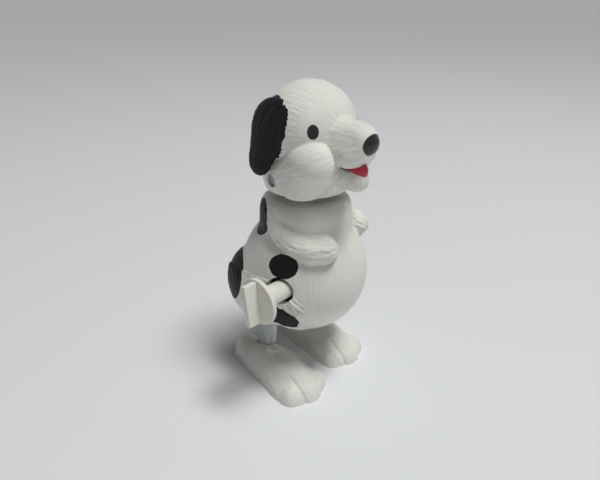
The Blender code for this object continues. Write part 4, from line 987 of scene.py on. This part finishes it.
class PUPPY_OT_legs(bpy.types.Operator):
    """Give the clear legs soft moulded edges"""

    bl_idname = "puppy.legs"
    bl_label = "Make the legs"

    def execute(self, context):
        edge = context.scene.puppy_foot.leg_edge
        for name in SIDES:
            leg = copied(frame["nodes"]["leg_" + name])
            leg.parent = None
            bpy.ops.object.mode_set(mode="EDIT")
            bpy.ops.mesh.select_all(action="SELECT")
            bpy.ops.mesh.remove_doubles(threshold=1e-6)
            bpy.ops.mesh.dissolve_limited(angle_limit=math.radians(1))
            bpy.ops.object.mode_set(mode="OBJECT")
            modified(leg, "BEVEL", width=edge, segments=2, limit_method="ANGLE", angle_limit=math.radians(40))
            smooth(leg)
            placed(leg, "leg_" + name + "_clear", name + "_step", ["leg_" + name],
                   shared(clear_polystyrene))
        return {"FINISHED"}


class PUPPY_OT_clockwork(bpy.types.Operator):
    """Give the clockwork inside its finishes"""

    bl_idname = "puppy.clockwork"
    bl_label = "Finish the clockwork"

    def execute(self, context):
        finishes = {
            "clear_plastic": shared(clear_polystyrene),
            "nylon": shared(moulded_nylon),
            "steel": shared(drawn_steel),
        }
        for part in frame["record"]["subparts"]:
            if part["material_slot"] in finishes:
                obj = frame["nodes"][part["node"]]
                obj.data.materials.clear()
                obj.data.materials.append(finishes[part["material_slot"]])
        return {"FINISHED"}


class PUPPY_OT_stage(bpy.types.Operator):
    """Set the floor, the lights and the camera"""

    bl_idname = "puppy.stage"
    bl_label = "Set the stage"

    def execute(self, context):
        tint = context.scene.puppy_colours
        self.floor(tint)
        self.wall(context.scene, tint)
        self.lights()
        bpy.ops.object.camera_add(location=ORIGIN + Vector(CAMERA_AT), rotation=CAMERA_TURN)
        camera = bpy.context.object
        camera.data.lens = CAMERA_LENS
        camera.data.sensor_width = CAMERA_SENSOR
        camera.data.clip_start = mm(5)
        context.scene.camera = camera
        context.scene.view_settings.view_transform = "Standard"
        return {"FINISHED"}

    def floor(self, tint):
        """A wide sheet of matt paper under the soles."""
        deselect()
        bpy.ops.mesh.primitive_plane_add(size=60, location=(0, 0, -mm(0.02)))
        floor = bpy.context.object
        floor.name = "floor"
        paper, shader = finish("matt_paper", Roughness=0.8, Base_Color=linear(tint.floor))
        place = node(paper, "ShaderNodeTexCoord", "Object")
        fibre = node(paper, "ShaderNodeTexNoise", "Fac", Vector=place, Scale=cells(10 / 9), Detail=3.0)
        bump = node(paper, "ShaderNodeBump", "Normal", Strength=0.05, Distance=mm(0.05), Height=fibre)
        floor.data.materials.append(wired(paper, shader, Normal=bump))

    def wall(self, scene, tint):
        """A pale wall to the eye, in reflections and through clear plastic, that lights the toy less."""
        world = scene.world or bpy.data.worlds.new("studio")
        scene.world = world
        world.use_nodes = True
        background = world.node_tree.nodes["Background"]
        background.inputs["Color"].default_value = linear(tint.wall)
        seen = node(world, "ShaderNodeLightPath", "Is Camera Ray")
        for name in ("Is Glossy Ray", "Is Transmission Ray"):
            ray = node(world, "ShaderNodeLightPath", name)
            seen = node(world, "ShaderNodeMath", 0, {"operation": "MAXIMUM"}, i0=seen, i1=ray)
        strength = node(world, "ShaderNodeMapRange", 0, i0=seen, i1=0.0, i2=1.0, i3=WALL_LIGHT, i4=WALL_SEEN)
        wired(world, background, Strength=strength)

    def lights(self):
        """Soft lights, of which the glint alone is mirrored in glossy plastic."""
        for name, (kind, way, distance, width, power) in LIGHTS.items():
            way = Vector(way).normalized()
            deselect()
            bpy.ops.object.light_add(type=kind, location=Vector(LIT_POINT) + way * distance,
                                     rotation=way.to_track_quat("Z", "Y").to_euler())
            light = bpy.context.object
            light.name = name
            setattr(light.data, "angle" if kind == "SUN" else "size", width)
            light.data.energy = power
            light.visible_glossy = name == "glint"


class PUPPY_PT_panel(bpy.types.Panel):
    """The puppy's pieces, in the 3D view's sidebar"""

    bl_idname = "PUPPY_PT_panel"
    bl_label = "Wind-up Puppy"
    bl_space_type = "VIEW_3D"
    bl_region_type = "UI"
    bl_category = "Puppy"

    def draw(self, context):
        for operator in OPERATORS:
            self.layout.operator(operator.bl_idname)
        for name in GROUPS:
            group = getattr(context.scene, name)
            box = self.layout.box()
            for key in group.__annotations__:
                box.prop(group, key)


GROUPS = {"puppy_head": PuppyHead, "puppy_body": PuppyBody, "puppy_foot": PuppyFoot, "puppy_key": PuppyKey,
          "puppy_colours": PuppyColours}
OPERATORS = (PUPPY_OT_head, PUPPY_OT_body, PUPPY_OT_feet, PUPPY_OT_key, PUPPY_OT_legs, PUPPY_OT_clockwork,
             PUPPY_OT_stage)


def register():
    for made in (*GROUPS.values(), *OPERATORS, PUPPY_PT_panel):
        bpy.utils.register_class(made)
    for name, group in GROUPS.items():
        setattr(bpy.types.Scene, name, PointerProperty(type=group))


def unregister():
    for name in GROUPS:
        delattr(bpy.types.Scene, name)
    for made in (PUPPY_PT_panel, *reversed(OPERATORS), *reversed(GROUPS.values())):
        bpy.utils.unregister_class(made)


def main():
    register()
    bpy.ops.puppy.head()
    bpy.ops.puppy.body()
    bpy.ops.puppy.feet()
    bpy.ops.puppy.key()
    bpy.ops.puppy.legs()
    bpy.ops.puppy.clockwork()
    bpy.ops.puppy.stage()


if __name__ == "__main__":
    main()
